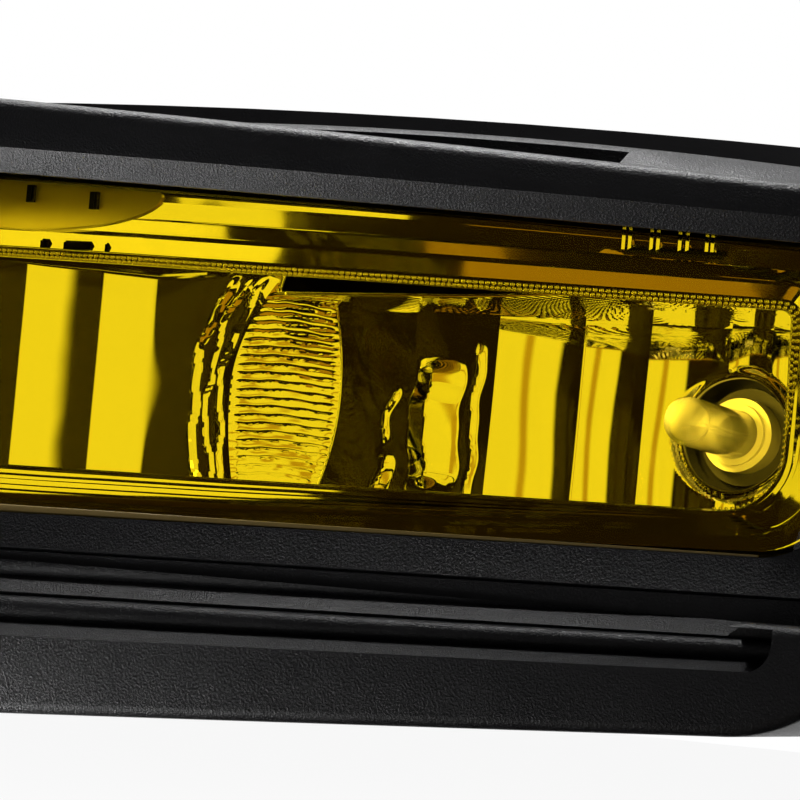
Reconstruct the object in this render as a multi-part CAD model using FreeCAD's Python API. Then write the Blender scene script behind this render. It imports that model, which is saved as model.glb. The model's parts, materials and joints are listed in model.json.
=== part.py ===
"""Truck bumper fog lamp: a tilting sealed lamp with an amber lens, held in a black bezel and carrier frame.

Millimetres. +X is to the right of someone facing the lamp, +Y runs back into the vehicle and +Z is up.
The origin is the centre of the four fixing holes, on the carrier frame's rear face.
Outlines are written as (x, z, corner radius) and are drawn looking at the front of the lamp.
"""

import FreeCAD, Part
import math
import os
from FreeCAD import Vector

# ---------------------------------------------------------------- driving dimensions
# bezel
BEZEL_HALF_WIDTH = 150.0
BEZEL_WALL = 3.0
CROWN_RADIUS = 1600.0          # plan curve of the bezel's front and of the lens
RAIL_FRONT_Y = -51.0           # front of the brow over the lens
RAIL_BACK_Y = -32.0
RAIL_TOP_Z, RAIL_TOP_SLOPE = 62.0, -0.083
RAIL_CORNER_LEFT, RAIL_CORNER_RIGHT = 22.0, 16.0
RAIL_EDGE_RADIUS = 3.0
SHOULDER_FRONT_Y = -41.0
SHOULDER_CREST_Y = -32.0       # from here forward the shoulder's top slopes down to the rail
SHOULDER_SLOPE = 31.0          # degrees
SHOULDER_APEX_X, SHOULDER_APEX_Z, SHOULDER_RADIUS = -60.0, 67.4, 1627.0
SHOULDER_CORNER_LEFT, SHOULDER_CORNER_RIGHT = 20.0, 14.0
SLOT_RIGHT, SLOT_BACK_Y = 70.5, -34.5   # the slot between rail and shoulder
CHIN_FRONT_Y = -64.5
CHIN_BOTTOM_Z, CHIN_BOTTOM_SLOPE = -84.9, 0.065
CHIN_CORNER = 38.0
CHIN_EDGE_RADIUS = 3.0
CHIN_END_RADIUS = 5.0
CHIN_SHELF_Z = -51.0           # top of the chin beside the upper groove's ends

# window in the bezel, in front of the lens
WINDOW_LEFT, WINDOW_RIGHT = -140.0, 133.0
WINDOW_TOP_Z, WINDOW_TOP_SLOPE = 45.3, -0.0568
WINDOW_BOTTOM_Z, WINDOW_BOTTOM_SLOPE = -37.4, 0.014
WINDOW_CORNERS = (16.0, 12.0, 20.0, 14.0)   # top left, top right, bottom right, bottom left
LIP_Y = -46.5                  # thin edge of the window
LIP_BACK_Y = -45.0
BROW_CHAMFER_Z, BROW_CHAMFER_SLOPE = 51.1, -0.060
BROW_CHAMFER_REACH = 2.0       # how far the chamfer runs past the window at each end

# grooves across the chin
GROOVE_1_Z, GROOVE_1_SLOPE = -46.4, 0.0146
GROOVE_2_Z, GROOVE_2_SLOPE = -57.2, 0.024
LEDGE_Z, LEDGE_SLOPE = -67.6, 0.041
WALL_FOOT_Y = -50.5            # front of the wall under the lens, where the first groove starts
LEDGE_1_FRONT_Y = -56.5
LEDGE_2_FRONT_Y = -65.5
BEAD_SHARE = 0.62              # part of each step that is its rounded bead
BEAD_BULGE = 2.6
BEAD_NOTCH = 0.8
GROOVE_1_RIGHT, GROOVE_1_LEFT = 116.0, -132.0
GROOVE_2_RIGHT, GROOVE_2_LEFT = 124.0, -138.0
GROOVE_END_RADIUS = 7.0
GROOVE_END_RAMP = 5.0

# carrier frame
CARRIER_THICKNESS = 4.0
CARRIER_APEX_X, CARRIER_APEX_Z, CARRIER_RADIUS = -135.5, 77.3, 3000.0
CARRIER_BOTTOM_INSET = 1.0
CARRIER_CORNER = 12.0
EAR_REACH = 17.0               # how far each fixing ear stands out past the bezel
EAR_HALF_HEIGHT = 43.0
EAR_CORNER = 9.0
BOLT_X, BOLT_Z = BEZEL_HALF_WIDTH + 8.0, 30.0   # half the spacing of the fixing holes
BOLT_HOLE_RADIUS = 3.3
SLEEVE_RADIUS = 5.0
SLEEVE_PROUD = 0.5
RIM_WALL, RIM_DEPTH = 3.0, 3.5
PIVOT_EAR_THICKNESS = 4.0
PIVOT_EAR_HALF_WIDTH = 11.0
BEZEL_SCREW_RADIUS = 2.0
BEZEL_SCREW_LENGTH = 12.0
BEZEL_SCREW_HEAD_RADIUS, BEZEL_SCREW_HEAD = 4.0, 2.6
SCREW_BOSS_RADIUS = 4.6

# lamp
LENS_OVERLAP = 3.0             # lens outline past the window
FLANGE_OVERLAP = 5.5           # housing flange past the window
BEZEL_CAVITY_OVERLAP = 9.5     # room in the bezel round the flange, so that the lamp can tilt
LENS_FRONT_Y = -41.0
LENS_THICKNESS = 3.0
LENS_SKIRT = 2.5
LENS_BACK_Y = -26.5
LENS_EDGE_RADIUS = 2.4
SEAT_GAP = 0.25                # clearance between pieces that are seated on each other
FLANGE_FRONT_Y = -33.0
CHANNEL_FLOOR_Y = -24.0
CHANNEL_INNER_Y = -30.0        # front of the channel's inner wall, lower so that the curved lens clears it
FLANGE_BACK_Y = -15.0
CHANNEL_WALL = 2.3
REFLECTOR_SEAT_Y = -20.0
REFLECTOR_SEAT_WIDTH = 4.5
BUCKET_FRONT_INSET = 5.0       # bucket outline inside the flange outline
BUCKET_BACK_Y = 34.0
BUCKET_TAPER = 7.0             # how much further in the bucket's back outline is
BUCKET_WALL = 2.5

# reflector
REFLECTOR_LEFT, REFLECTOR_RIGHT = -129.0, 113.5
REFLECTOR_TOP_Z, REFLECTOR_TOP_SLOPE = 28.6, -0.0145
REFLECTOR_BOTTOM_Z, REFLECTOR_BOTTOM_SLOPE = -25.7, 0.0118
REFLECTOR_CORNERS = (6.0, 4.0, 15.0, 6.0)
REFLECTOR_WALL = 2.0
REFLECTOR_FLANGE = 2.2
REFLECTOR_RIM_Y = -25.5
COLUMN_SAG = 1.6               # how deep each upright flute of the back wall is

# trim frame between lens and reflector
TRIM_FRONT_Y = -36.4           # at the middle; the steps follow the crown
TRIM_STEP_Y = (-32.0, -28.8)
TRIM_STEP_SHARE = (0.42, 0.72)  # how far in from the lens each step has come
TRIM_GAP = 0.6

# bulb and its collar
BULB_X, BULB_Z = 85.5, -3.0
BULB_HOLE_RADIUS = 15.0
GLASS_RADIUS = 6.0
GLASS_WALL = 0.9
GLASS_TIP_Y = -24.0
BASE_RING_Y = 20.0
BASE_RING_RADIUS = 9.2
HUB_RADIUS = 12.2
COLLAR_DEPTH = 9.0
COLLAR_WALL = 3.0
LUG_COUNT = 3
LUG_REACH = 2.6
LUG_THICKNESS = 3.0
LUG_ANGLE = 40.0
LUG_CLEARANCE = 0.4
HOLDER_FLANGE_RADIUS = 17.0
HOLDER_FLANGE = 3.0
HOLDER_NECK_RADIUS, HOLDER_NECK = 10.5, 10.0
PLUG_WIDTH, PLUG_HEIGHT, PLUG_DEPTH, PLUG_WALL = 24.0, 15.0, 19.0, 1.8

# tilt pivot and aim adjuster
PIVOT_Y, PIVOT_Z = 12.0, 0.0
PIVOT_PIN_RADIUS = 4.0
PIVOT_RUNNING = 0.05
BUSH_WALL, BUSH_FLANGE_WIDTH = 2.0, 1.2
PIVOT_BOSS_RADIUS = 7.5
PIVOT_BOSS_GAP = 2.6           # from the housing's boss to the carrier's ear
AIM_X, AIM_Z = -40.0, -60.0
AIM_SHANK_RADIUS = 2.5
AIM_SHANK_FRONT_Y = 2.0
AIM_TAB_Y = 34.0
AIM_TAB_THICKNESS = 3.0
AIM_RUNNING = 0.1
BALL_RADIUS = 6.0
BALL_HALF_LENGTH = 4.6
SOCKET_WALL = 2.4
SOCKET_CLEARANCE = 0.2
AIM_LUG_WALL = 3.0
AIM_HEX = 8.0
AIM_HEAD = 7.0
AIM_WASHER_RADIUS, AIM_WASHER = 7.5, 1.6
SHELF_HALF_WIDTH = 13.0

# screws, posts and small gaps
FIT = 0.05                     # radial slack between pieces that do not turn on each other
SCREW_CLEARANCE = 0.1
SCREW_TOP_X = (-100.0, 0.0, 118.0)
SCREW_TOP_Z, SCREW_TOP_SLOPE = 60.2, -0.048
SCREW_CHIN_X = (-112.0, 0.0, 106.0)
SCREW_CHIN_HEIGHT = 9.6
PIVOT_BOSS_REACH = 3.0
PIVOT_BOSS_LENGTH = 13.0
PIVOT_PIN_SEAT = 9.0
PIVOT_HEAD_RADIUS, PIVOT_HEAD = 6.5, 2.5
BUSH_FLANGE_GAP = 0.3
SHELF_DROP = 18.0
CHEEK_HEIGHT = 9.0
VENT_X, VENT_Z = -70.0, 12.0
VENT_RADIUS, VENT_LENGTH = 4.5, 8.0
VENT_CAP_WALL, VENT_CAP_GAP = 1.8, 0.1
REFLECTOR_SCREW_X = (-105.0, 0.0, 95.0)
REFLECTOR_SCREW_TOP, REFLECTOR_SCREW_BOTTOM = 7.0, 6.2
REFLECTOR_SCREW_RADIUS, REFLECTOR_SCREW_LENGTH = 1.5, 9.0
REFLECTOR_SCREW_HEAD_RADIUS, REFLECTOR_SCREW_HEAD = 2.4, 1.4
REFLECTOR_POST_RADIUS, REFLECTOR_POST = 3.0, 12.0
SEAL_SLACK = 0.15
TRIM_WALL = 1.6
SOCKET_HALF = 4.4
LUG_INSET = 2.0                # from the housing's back wall to the bulb's lugs
HUB_INSIDE = 6.0               # how far the bulb holder's hub reaches into the housing
BULB_TWIST = 45.0              # turn from locked to free
BULB_SEAL, BULB_SEAL_GAP = 1.4, 0.3
BASE_SPIGOT = 6.0
GLASS_SEAT = 5.0
LEAD_RADIUS = 0.35
FILAMENT_Y, FILAMENT_LENGTH, FILAMENT_RADIUS = -12.0, 4.6, 0.6
AIM_SIDE_GAP = 0.3
AIM_CLIP, AIM_CLIP_RADIUS = 1.2, 6.0

# back wall of the reflector: where each upright column ends, as (x, y)
REFLECTOR_COLUMNS = (
    (-129.0, -20.0), (-114.0, -18.0), (-86.7, -10.9), (-64.4, -4.8), (-52.0, -4.0), (-17.7, 4.9),
    (-0.4, 4.3), (13.2, 5.0), (41.7, 13.2), (61.7, 16.8), (70.0, 20.0), (101.5, 21.5), (113.5, 14.5),
)

FAR = 260.0                    # bigger than the lamp in every direction


# ---------------------------------------------------------------- lines of the design, as heights at x
def rail_top(x):
    return RAIL_TOP_Z + RAIL_TOP_SLOPE * x


def chin_bottom(x):
    return CHIN_BOTTOM_Z + CHIN_BOTTOM_SLOPE * x


def window_top(x):
    return WINDOW_TOP_Z + WINDOW_TOP_SLOPE * x


def window_bottom(x):
    return WINDOW_BOTTOM_Z + WINDOW_BOTTOM_SLOPE * x


def brow_chamfer(x):
    return BROW_CHAMFER_Z + BROW_CHAMFER_SLOPE * x


def groove_1(x):
    return GROOVE_1_Z + GROOVE_1_SLOPE * x


def groove_2(x):
    return GROOVE_2_Z + GROOVE_2_SLOPE * x


def ledge(x):
    return LEDGE_Z + LEDGE_SLOPE * x


def crown(x):
    """How far back the curved front has come at x."""
    return x * x / (2 * CROWN_RADIUS)


# ---------------------------------------------------------------- shape helpers
def box(x0, x1, y0, y1, z0, z1):
    return Part.makeBox(x1 - x0, y1 - y0, z1 - z0, Vector(x0, y0, z0))


def rod(x, y, z, radius, length, axis=Vector(0, 1, 0)):
    """A cylinder that starts at (x, y, z) and runs along axis."""
    return Part.makeCylinder(radius, length, Vector(x, y, z), axis)


def pipe(x, y, z, outer, inner, length, axis=Vector(0, 1, 0)):
    return rod(x, y, z, outer, length, axis).cut(rod(x, y, z, inner, length, axis))


def fused(shapes):
    whole = shapes[0].fuse(shapes[1:]) if len(shapes) > 1 else shapes[0]
    return whole.removeSplitter()


def rounded_wire(outline, y):
    """A closed wire at depth y: straight sides joined by tangent arcs."""
    points = [Vector(x, y, z) for x, z, _ in outline]
    count = len(points)
    corners = []
    for i, (_, _, radius) in enumerate(outline):
        here, before, after = points[i], points[i - 1], points[(i + 1) % count]
        to_before, to_after = (before - here).normalize(), (after - here).normalize()
        half_turn = to_before.getAngle(to_after) / 2
        reach = radius / math.tan(half_turn)
        centre = here + (to_before + to_after).normalize() * (radius / math.sin(half_turn))
        middle = centre + (here - centre).normalize() * radius
        corners.append((here + to_before * reach, middle, here + to_after * reach))
    edges = []
    for i, (start, middle, end) in enumerate(corners):
        edges.append(Part.Arc(start, middle, end).toShape())
        edges.append(Part.LineSegment(end, corners[(i + 1) % count][0]).toShape())
    return Part.Wire(edges)


def grow(outline, distance):
    """The outline with each side moved outwards (inwards if distance is negative)."""
    count = len(outline)
    area = sum(outline[i - 1][0] * outline[i][1] - outline[i][0] * outline[i - 1][1] for i in range(count))
    side = math.copysign(1.0, area)
    lines = []
    for i in range(count):
        (x0, z0, _), (x1, z1, _) = outline[i], outline[(i + 1) % count]
        length = math.hypot(x1 - x0, z1 - z0)
        normal = (side * (z1 - z0) / length, -side * (x1 - x0) / length)
        lines.append((normal, normal[0] * x0 + normal[1] * z0 + distance))
    grown = []
    for i in range(count):
        (a, p), (b, q) = lines[i - 1], lines[i]
        det = a[0] * b[1] - a[1] * b[0]
        x, z = (p * b[1] - q * a[1]) / det, (a[0] * q - b[0] * p) / det
        grown.append((x, z, max(0.5, outline[i][2] + distance)))
    return grown


def prism(outline, y0, y1):
    return Part.Face(rounded_wire(outline, y0)).extrude(Vector(0, y1 - y0, 0))


def tapered(outline_0, y0, outline_1, y1):
    return Part.makeLoft([rounded_wire(outline_0, y0), rounded_wire(outline_1, y1)], True, True)


def behind_crown(front_y):
    """Everything behind the curved front surface that reaches front_y at the middle."""
    return Part.makeCylinder(CROWN_RADIUS, 2 * FAR, Vector(0, front_y + CROWN_RADIUS, -FAR))


def under_arc(apex, radius, slope=0.0):
    """Everything under a long flat arc that rises by this many degrees towards the back."""
    along = Vector(0, math.cos(math.radians(slope)), math.sin(math.radians(slope)))
    down = Vector(0, along.z, -along.y)
    size = radius / along.y
    return Part.makeCylinder(size, 2 * FAR, Vector(*apex) + down * size - along * FAR, along)


def minus(shape, tools):
    """The shape with each tool cut away in turn."""
    for tool in tools:
        shape = shape.cut(tool)
    return shape


def front_edges(shape, y_limit):
    """Edges of the front face: all their points lie in front of y_limit."""
    return [e for e in shape.Edges if e.BoundBox.YMax < y_limit]


def along_x(profile, x_from, x_to, stations=5):
    """A solid through the profile drawn at evenly spaced stations."""
    sections = []
    for i in range(stations):
        x = x_from + (x_to - x_from) * i / (stations - 1)
        sections.append(profile(x))
    return Part.makeLoft(sections, True, False)


def chain(x, points):
    """A closed wire at x from (y, z) points; four numbers in the list are an arc's middle and end."""
    edges = []
    start = here = Vector(x, *points[0])
    for step in points[1:]:
        if len(step) == 4:
            middle, end = Vector(x, step[0], step[1]), Vector(x, step[2], step[3])
            edges.append(Part.Arc(here, middle, end).toShape())
        else:
            end = Vector(x, *step)
            edges.append(Part.LineSegment(here, end).toShape())
        here = end
    edges.append(Part.LineSegment(here, start).toShape())
    return Part.Wire(edges)


# ---------------------------------------------------------------- outlines that the pieces share
WINDOW = [
    (WINDOW_LEFT, window_top(WINDOW_LEFT), WINDOW_CORNERS[0]),
    (WINDOW_RIGHT, window_top(WINDOW_RIGHT), WINDOW_CORNERS[1]),
    (WINDOW_RIGHT, window_bottom(WINDOW_RIGHT), WINDOW_CORNERS[2]),
    (WINDOW_LEFT, window_bottom(WINDOW_LEFT), WINDOW_CORNERS[3]),
]
LENS = grow(WINDOW, LENS_OVERLAP)
FLANGE = grow(WINDOW, FLANGE_OVERLAP)
BUCKET = grow(FLANGE, -BUCKET_FRONT_INSET)
BUCKET_BACK = grow(BUCKET, -BUCKET_TAPER)
CARRIER_OPENING = grow(FLANGE, -1.5)
REFLECTOR = [
    (REFLECTOR_LEFT, REFLECTOR_TOP_Z + REFLECTOR_TOP_SLOPE * REFLECTOR_LEFT, REFLECTOR_CORNERS[0]),
    (REFLECTOR_RIGHT, REFLECTOR_TOP_Z + REFLECTOR_TOP_SLOPE * REFLECTOR_RIGHT, REFLECTOR_CORNERS[1]),
    (REFLECTOR_RIGHT, REFLECTOR_BOTTOM_Z + REFLECTOR_BOTTOM_SLOPE * REFLECTOR_RIGHT, REFLECTOR_CORNERS[2]),
    (REFLECTOR_LEFT, REFLECTOR_BOTTOM_Z + REFLECTOR_BOTTOM_SLOPE * REFLECTOR_LEFT, REFLECTOR_CORNERS[3]),
]


def between(outer, inner, share):
    """The outline that has come this share of the way from outer to inner."""
    return [tuple(a + (b - a) * share for a, b in zip(p, q)) for p, q in zip(outer, inner)]


# ---------------------------------------------------------------- bezel
def recess_profile(x):
    """From the slanting underside of the brow, down past the window, to the first bead and its ledge."""
    back = crown(x)
    bead_end = groove_1(x) - BEAD_SHARE * (groove_1(x) - groove_2(x))
    bead_mid = (groove_1(x) - BEAD_NOTCH + bead_end) / 2
    foot = WALL_FOOT_Y + back
    rise = 1.5 * (brow_chamfer(x) - window_top(x))
    run = 1.5 * (RAIL_FRONT_Y - LIP_Y)
    return chain(x, [
        (-FAR, window_top(x) + rise + 3.0),
        (LIP_Y + back + run, window_top(x) + rise),
        (LIP_Y + back, window_top(x)),
        (LIP_Y + back, window_bottom(x)),
        (foot, groove_1(x)),
        (foot + BEAD_NOTCH, groove_1(x) - BEAD_NOTCH),
        (foot - BEAD_BULGE, bead_mid, foot - 1.0, bead_end),
        (LEDGE_1_FRONT_Y + back, groove_2(x)),
        (-FAR, groove_2(x)),
    ])


def groove_2_profile(x):
    """The second bead and the wide ledge under it."""
    back = crown(x)
    bead_end = groove_2(x) - BEAD_SHARE * (groove_2(x) - ledge(x))
    bead_mid = (groove_2(x) - BEAD_NOTCH + bead_end) / 2
    foot = LEDGE_1_FRONT_Y + back
    return chain(x, [
        (-FAR, groove_2(x) + 2.0),
        (foot - 0.4, groove_2(x) + 2.0),
        (foot, groove_2(x)),
        (foot + BEAD_NOTCH, groove_2(x) - BEAD_NOTCH),
        (foot - BEAD_BULGE, bead_mid, foot - 1.0, bead_end),
        (LEDGE_2_FRONT_Y + back, ledge(x)),
        (-FAR, ledge(x)),
    ])


def bezel_outline(top_left, top_right, corner_left, corner_right):
    half = BEZEL_HALF_WIDTH
    return [
        (-half, top_left, corner_left),
        (half, top_right, corner_right),
        (half, chin_bottom(half), CHIN_CORNER),
        (-half, chin_bottom(-half), CHIN_CORNER),
    ]


def bezel_outer():
    half = BEZEL_HALF_WIDTH
    outline = bezel_outline(rail_top(-half), rail_top(half), RAIL_CORNER_LEFT, RAIL_CORNER_RIGHT)
    rail = prism(outline, RAIL_FRONT_Y, RAIL_BACK_Y).common(behind_crown(RAIL_FRONT_Y))
    rail = rail.makeFillet(RAIL_EDGE_RADIUS, front_edges(rail, RAIL_FRONT_Y + crown(half) + 1.0))
    tall = SHOULDER_APEX_Z + 10.0
    shoulder = prism(bezel_outline(tall, tall, 0.5, 0.5), SHOULDER_FRONT_Y, -CARRIER_THICKNESS)
    apex = (SHOULDER_APEX_X, SHOULDER_CREST_Y, SHOULDER_APEX_Z)
    shoulder = shoulder.common(under_arc(apex, SHOULDER_RADIUS))
    for x, radius in ((-half, SHOULDER_CORNER_LEFT), (half, SHOULDER_CORNER_RIGHT)):
        upright = [e for e in shoulder.Edges if abs(e.CenterOfMass.x - x) < 0.1
                   and e.CenterOfMass.z > 0 and e.BoundBox.ZLength < 0.1 and e.BoundBox.YLength > 1]
        shoulder = shoulder.makeFillet(radius, upright)
    shoulder = shoulder.common(under_arc(apex, SHOULDER_RADIUS, SHOULDER_SLOPE))
    shoulder = shoulder.cut(box(-FAR, SLOT_RIGHT, -FAR, SLOT_BACK_Y, 0, FAR))
    chin = prism(outline, CHIN_FRONT_Y, -CARRIER_THICKNESS).common(behind_crown(CHIN_FRONT_Y))
    chin = chin.common(box(-FAR, FAR, -FAR, FAR, -FAR, CHIN_SHELF_Z))
    ends = [e for e in chin.Edges if abs(e.BoundBox.ZMax - CHIN_SHELF_Z) < 0.1
            and e.BoundBox.XLength < 0.5 and e.BoundBox.YLength > 10]
    chin = chin.makeFillet(CHIN_END_RADIUS, ends)
    chin = chin.makeFillet(CHIN_EDGE_RADIUS, front_edges(chin, CHIN_FRONT_Y + crown(half) + 1.0))
    return rail.fuse([shoulder, chin])


def front_cutters():
    """The recess round the window with the first groove, and the second groove."""
    left, right = WINDOW_LEFT - BROW_CHAMFER_REACH, WINDOW_RIGHT + BROW_CHAMFER_REACH
    below = groove_2(GROOVE_1_RIGHT) - 5
    upper_region = prism([
        (left, brow_chamfer(left) + 8, 20.0),
        (right, brow_chamfer(right) + 8, 18.0),
        (right, CHIN_SHELF_Z, 1.0),
        (GROOVE_1_RIGHT, CHIN_SHELF_Z, 3.0),
        (GROOVE_1_RIGHT - GROOVE_END_RAMP, groove_2(GROOVE_1_RIGHT), 2.0),
        (GROOVE_1_RIGHT - GROOVE_END_RAMP, below, 0.5),
        (GROOVE_1_LEFT + GROOVE_END_RAMP, below, 0.5),
        (GROOVE_1_LEFT + GROOVE_END_RAMP, groove_2(GROOVE_1_LEFT), 2.0),
        (GROOVE_1_LEFT, CHIN_SHELF_Z, 3.0),
        (left, CHIN_SHELF_Z, 1.0),
    ], -FAR, 0)
    lower_region = prism([
        (GROOVE_2_LEFT, groove_1(0), 0.5),
        (GROOVE_2_RIGHT, groove_1(0), 0.5),
        (GROOVE_2_RIGHT, ledge(GROOVE_2_RIGHT), GROOVE_END_RADIUS),
        (GROOVE_2_LEFT, ledge(GROOVE_2_LEFT), GROOVE_END_RADIUS),
    ], -FAR, 0)
    upper = along_x(recess_profile, -FAR, FAR).common(upper_region)
    lower = along_x(groove_2_profile, -FAR, FAR).common(lower_region)
    return [upper, lower]


def bezel_hollows():
    """Room behind the front skin: for the lamp's flange, and in the chin."""
    half = BEZEL_HALF_WIDTH - BEZEL_WALL
    lamp_room = prism(grow(WINDOW, BEZEL_CAVITY_OVERLAP), -FAR, 0).common(behind_crown(LIP_BACK_Y))
    web_z = window_bottom(0) - BEZEL_CAVITY_OVERLAP - BEZEL_WALL
    levels = [
        lambda x: web_z,
        lambda x: groove_2(x) - 1.0,
        lambda x: ledge(x) - BEZEL_WALL,
        lambda x: chin_bottom(x) + BEZEL_WALL,
    ]
    fronts = [
        WALL_FOOT_Y + BEAD_NOTCH + BEZEL_WALL,
        LEDGE_1_FRONT_Y + BEAD_NOTCH + BEZEL_WALL,
        CHIN_FRONT_Y + BEZEL_WALL,
    ]
    tall = window_top(0)
    inside = grow(bezel_outline(tall, tall, 0.5, 0.5), -BEZEL_WALL)
    hollows = [lamp_room]
    for top, bottom, front_y in zip(levels, levels[1:], fronts):
        slab = prism([
            (-half, top(-half), 0.1),
            (half, top(half), 0.1),
            (half, bottom(half), 0.1),
            (-half, bottom(-half), 0.1),
        ], -FAR, 0)
        room = slab.common([prism(inside, -FAR, 0)]).common(behind_crown(front_y))
        hollows.append(room)
    return hollows


def bezel_screw_places():
    """Six self-tapping screws hold the bezel to the carrier, along its top and its chin."""
    top = [(x, SCREW_TOP_Z + SCREW_TOP_SLOPE * x) for x in SCREW_TOP_X]
    chin = [(x, chin_bottom(x) + SCREW_CHIN_HEIGHT) for x in SCREW_CHIN_X]
    return top, chin


def make_bezel():
    window = prism(WINDOW, -FAR, 0)
    body = minus(bezel_outer(), front_cutters() + bezel_hollows() + [window])
    top, chin = bezel_screw_places()
    for x, z in chin:
        front = CHIN_FRONT_Y + BEZEL_WALL + crown(x) - 1.0
        body = body.fuse(rod(x, front, z, SCREW_BOSS_RADIUS, -CARRIER_THICKNESS - front))
    depth = BEZEL_SCREW_LENGTH + 1.0
    holes = [rod(x, -depth, z, BEZEL_SCREW_RADIUS + SCREW_CLEARANCE, depth) for x, z in top + chin]
    return minus(body, holes)


def make_bezel_screws():
    top, chin = bezel_screw_places()
    screws = []
    for x, z in top + chin:
        shank = rod(x, -BEZEL_SCREW_LENGTH, z, BEZEL_SCREW_RADIUS, BEZEL_SCREW_LENGTH)
        head = rod(x, 0, z, BEZEL_SCREW_HEAD_RADIUS, BEZEL_SCREW_HEAD)
        socket = hex_bar(x, BEZEL_SCREW_HEAD / 2, z, BEZEL_SCREW_RADIUS * 2, BEZEL_SCREW_HEAD)
        screws.append(shank.fuse(head).cut(socket))
    return Part.makeCompound(screws)


# ---------------------------------------------------------------- carrier frame
def bolt_places():
    return [(sx * BOLT_X, sz * BOLT_Z) for sx in (-1, 1) for sz in (-1, 1)]


def pivot_sides():
    """Each pivot: which way it points and where the face of the housing's boss is."""
    return [(-1, WINDOW_LEFT - PIVOT_BOSS_REACH), (1, WINDOW_RIGHT + PIVOT_BOSS_REACH)]


def pivot_ear(side, boss_face):
    near = boss_face + side * PIVOT_BOSS_GAP
    far = near + side * PIVOT_EAR_THICKNESS
    x0, x1 = min(near, far), max(near, far)
    block = box(x0, x1, -1, PIVOT_Y, PIVOT_Z - PIVOT_EAR_HALF_WIDTH, PIVOT_Z + PIVOT_EAR_HALF_WIDTH)
    eye = rod(x0, PIVOT_Y, PIVOT_Z, PIVOT_EAR_HALF_WIDTH, x1 - x0, Vector(1, 0, 0))
    return fused([block, eye])


def make_carrier():
    half = BEZEL_HALF_WIDTH
    tall = CARRIER_APEX_Z + 10.0
    plate = prism([
        (-half, tall, 0.5),
        (half, tall, 0.5),
        (half, chin_bottom(half) + CARRIER_BOTTOM_INSET, CHIN_CORNER - CARRIER_BOTTOM_INSET),
        (-half, chin_bottom(-half) + CARRIER_BOTTOM_INSET, CHIN_CORNER - CARRIER_BOTTOM_INSET),
    ], -CARRIER_THICKNESS, 0)
    plate = plate.common(under_arc((CARRIER_APEX_X, 0, CARRIER_APEX_Z), CARRIER_RADIUS))
    upright = [e for e in plate.Edges if abs(abs(e.CenterOfMass.x) - half) < 0.1
               and e.CenterOfMass.z > 0 and e.BoundBox.ZLength < 0.1 and e.BoundBox.YLength > 1]
    plate = plate.makeFillet(CARRIER_CORNER, upright)
    reach = half + EAR_REACH
    ears = prism([
        (-reach, EAR_HALF_HEIGHT, EAR_CORNER),
        (reach, EAR_HALF_HEIGHT, EAR_CORNER),
        (reach, -EAR_HALF_HEIGHT, EAR_CORNER),
        (-reach, -EAR_HALF_HEIGHT, EAR_CORNER),
    ], -CARRIER_THICKNESS, 0)
    rim = prism(grow(CARRIER_OPENING, RIM_WALL), -CARRIER_THICKNESS / 2, RIM_DEPTH)
    lip = prism(grow(CARRIER_OPENING, RIM_WALL), -CARRIER_THICKNESS, -1)
    body = fused([plate, ears, rim, lip] + [pivot_ear(side, face) for side, face in pivot_sides()])
    opening = prism(CARRIER_OPENING, -FAR, FAR)
    body = body.cut(opening)
    foot_z = AIM_Z - SHELF_DROP
    shelf_end = AIM_TAB_Y + AIM_TAB_THICKNESS
    left, right = AIM_X - SHELF_HALF_WIDTH, AIM_X + SHELF_HALF_WIDTH
    shelf = box(left, right, -1, shelf_end, foot_z, foot_z + AIM_TAB_THICKNESS)
    tab = box(left, right, AIM_TAB_Y, shelf_end, foot_z, AIM_Z + SHELF_HALF_WIDTH - 3)
    cheeks = []
    for x in (left, right - AIM_TAB_THICKNESS):
        cheeks.append(box(x, x + AIM_TAB_THICKNESS, -1, shelf_end, foot_z, foot_z + CHEEK_HEIGHT))
    body = fused([body, shelf, tab] + cheeks)
    holes = [rod(x, -FAR, z, SLEEVE_RADIUS + FIT, 2 * FAR) for x, z in bolt_places()]
    top, chin = bezel_screw_places()
    holes += [rod(x, -FAR, z, BEZEL_SCREW_RADIUS + SCREW_CLEARANCE, 2 * FAR) for x, z in top + chin]
    bush = PIVOT_PIN_RADIUS + PIVOT_RUNNING + BUSH_WALL + FIT
    for side, face in pivot_sides():
        holes.append(rod(face, PIVOT_Y, PIVOT_Z, bush, 20.0, Vector(side, 0, 0)))
    holes.append(rod(AIM_X, AIM_TAB_Y - 1, AIM_Z, AIM_SHANK_RADIUS + AIM_RUNNING, AIM_TAB_THICKNESS + 2))
    return minus(body, holes)


def make_mount_sleeves():
    length = CARRIER_THICKNESS + SLEEVE_PROUD
    return Part.makeCompound([pipe(x, -length, z, SLEEVE_RADIUS, BOLT_HOLE_RADIUS, length)
                              for x, z in bolt_places()])


def make_pivot_bush(side, boss_face):
    """A flanged bush in the carrier's ear; its flange faces the lamp."""
    flange = PIVOT_BOSS_GAP - BUSH_FLANGE_GAP
    start = boss_face + side * BUSH_FLANGE_GAP
    axis = Vector(side, 0, 0)
    inner = PIVOT_PIN_RADIUS + PIVOT_RUNNING
    outer = inner + BUSH_WALL
    tube = rod(start, PIVOT_Y, PIVOT_Z, outer, flange + PIVOT_EAR_THICKNESS, axis)
    collar = rod(start, PIVOT_Y, PIVOT_Z, outer + BUSH_FLANGE_WIDTH, flange, axis)
    bore = rod(boss_face, PIVOT_Y, PIVOT_Z, inner, 20.0, axis)
    return tube.fuse(collar).cut(bore)


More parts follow.
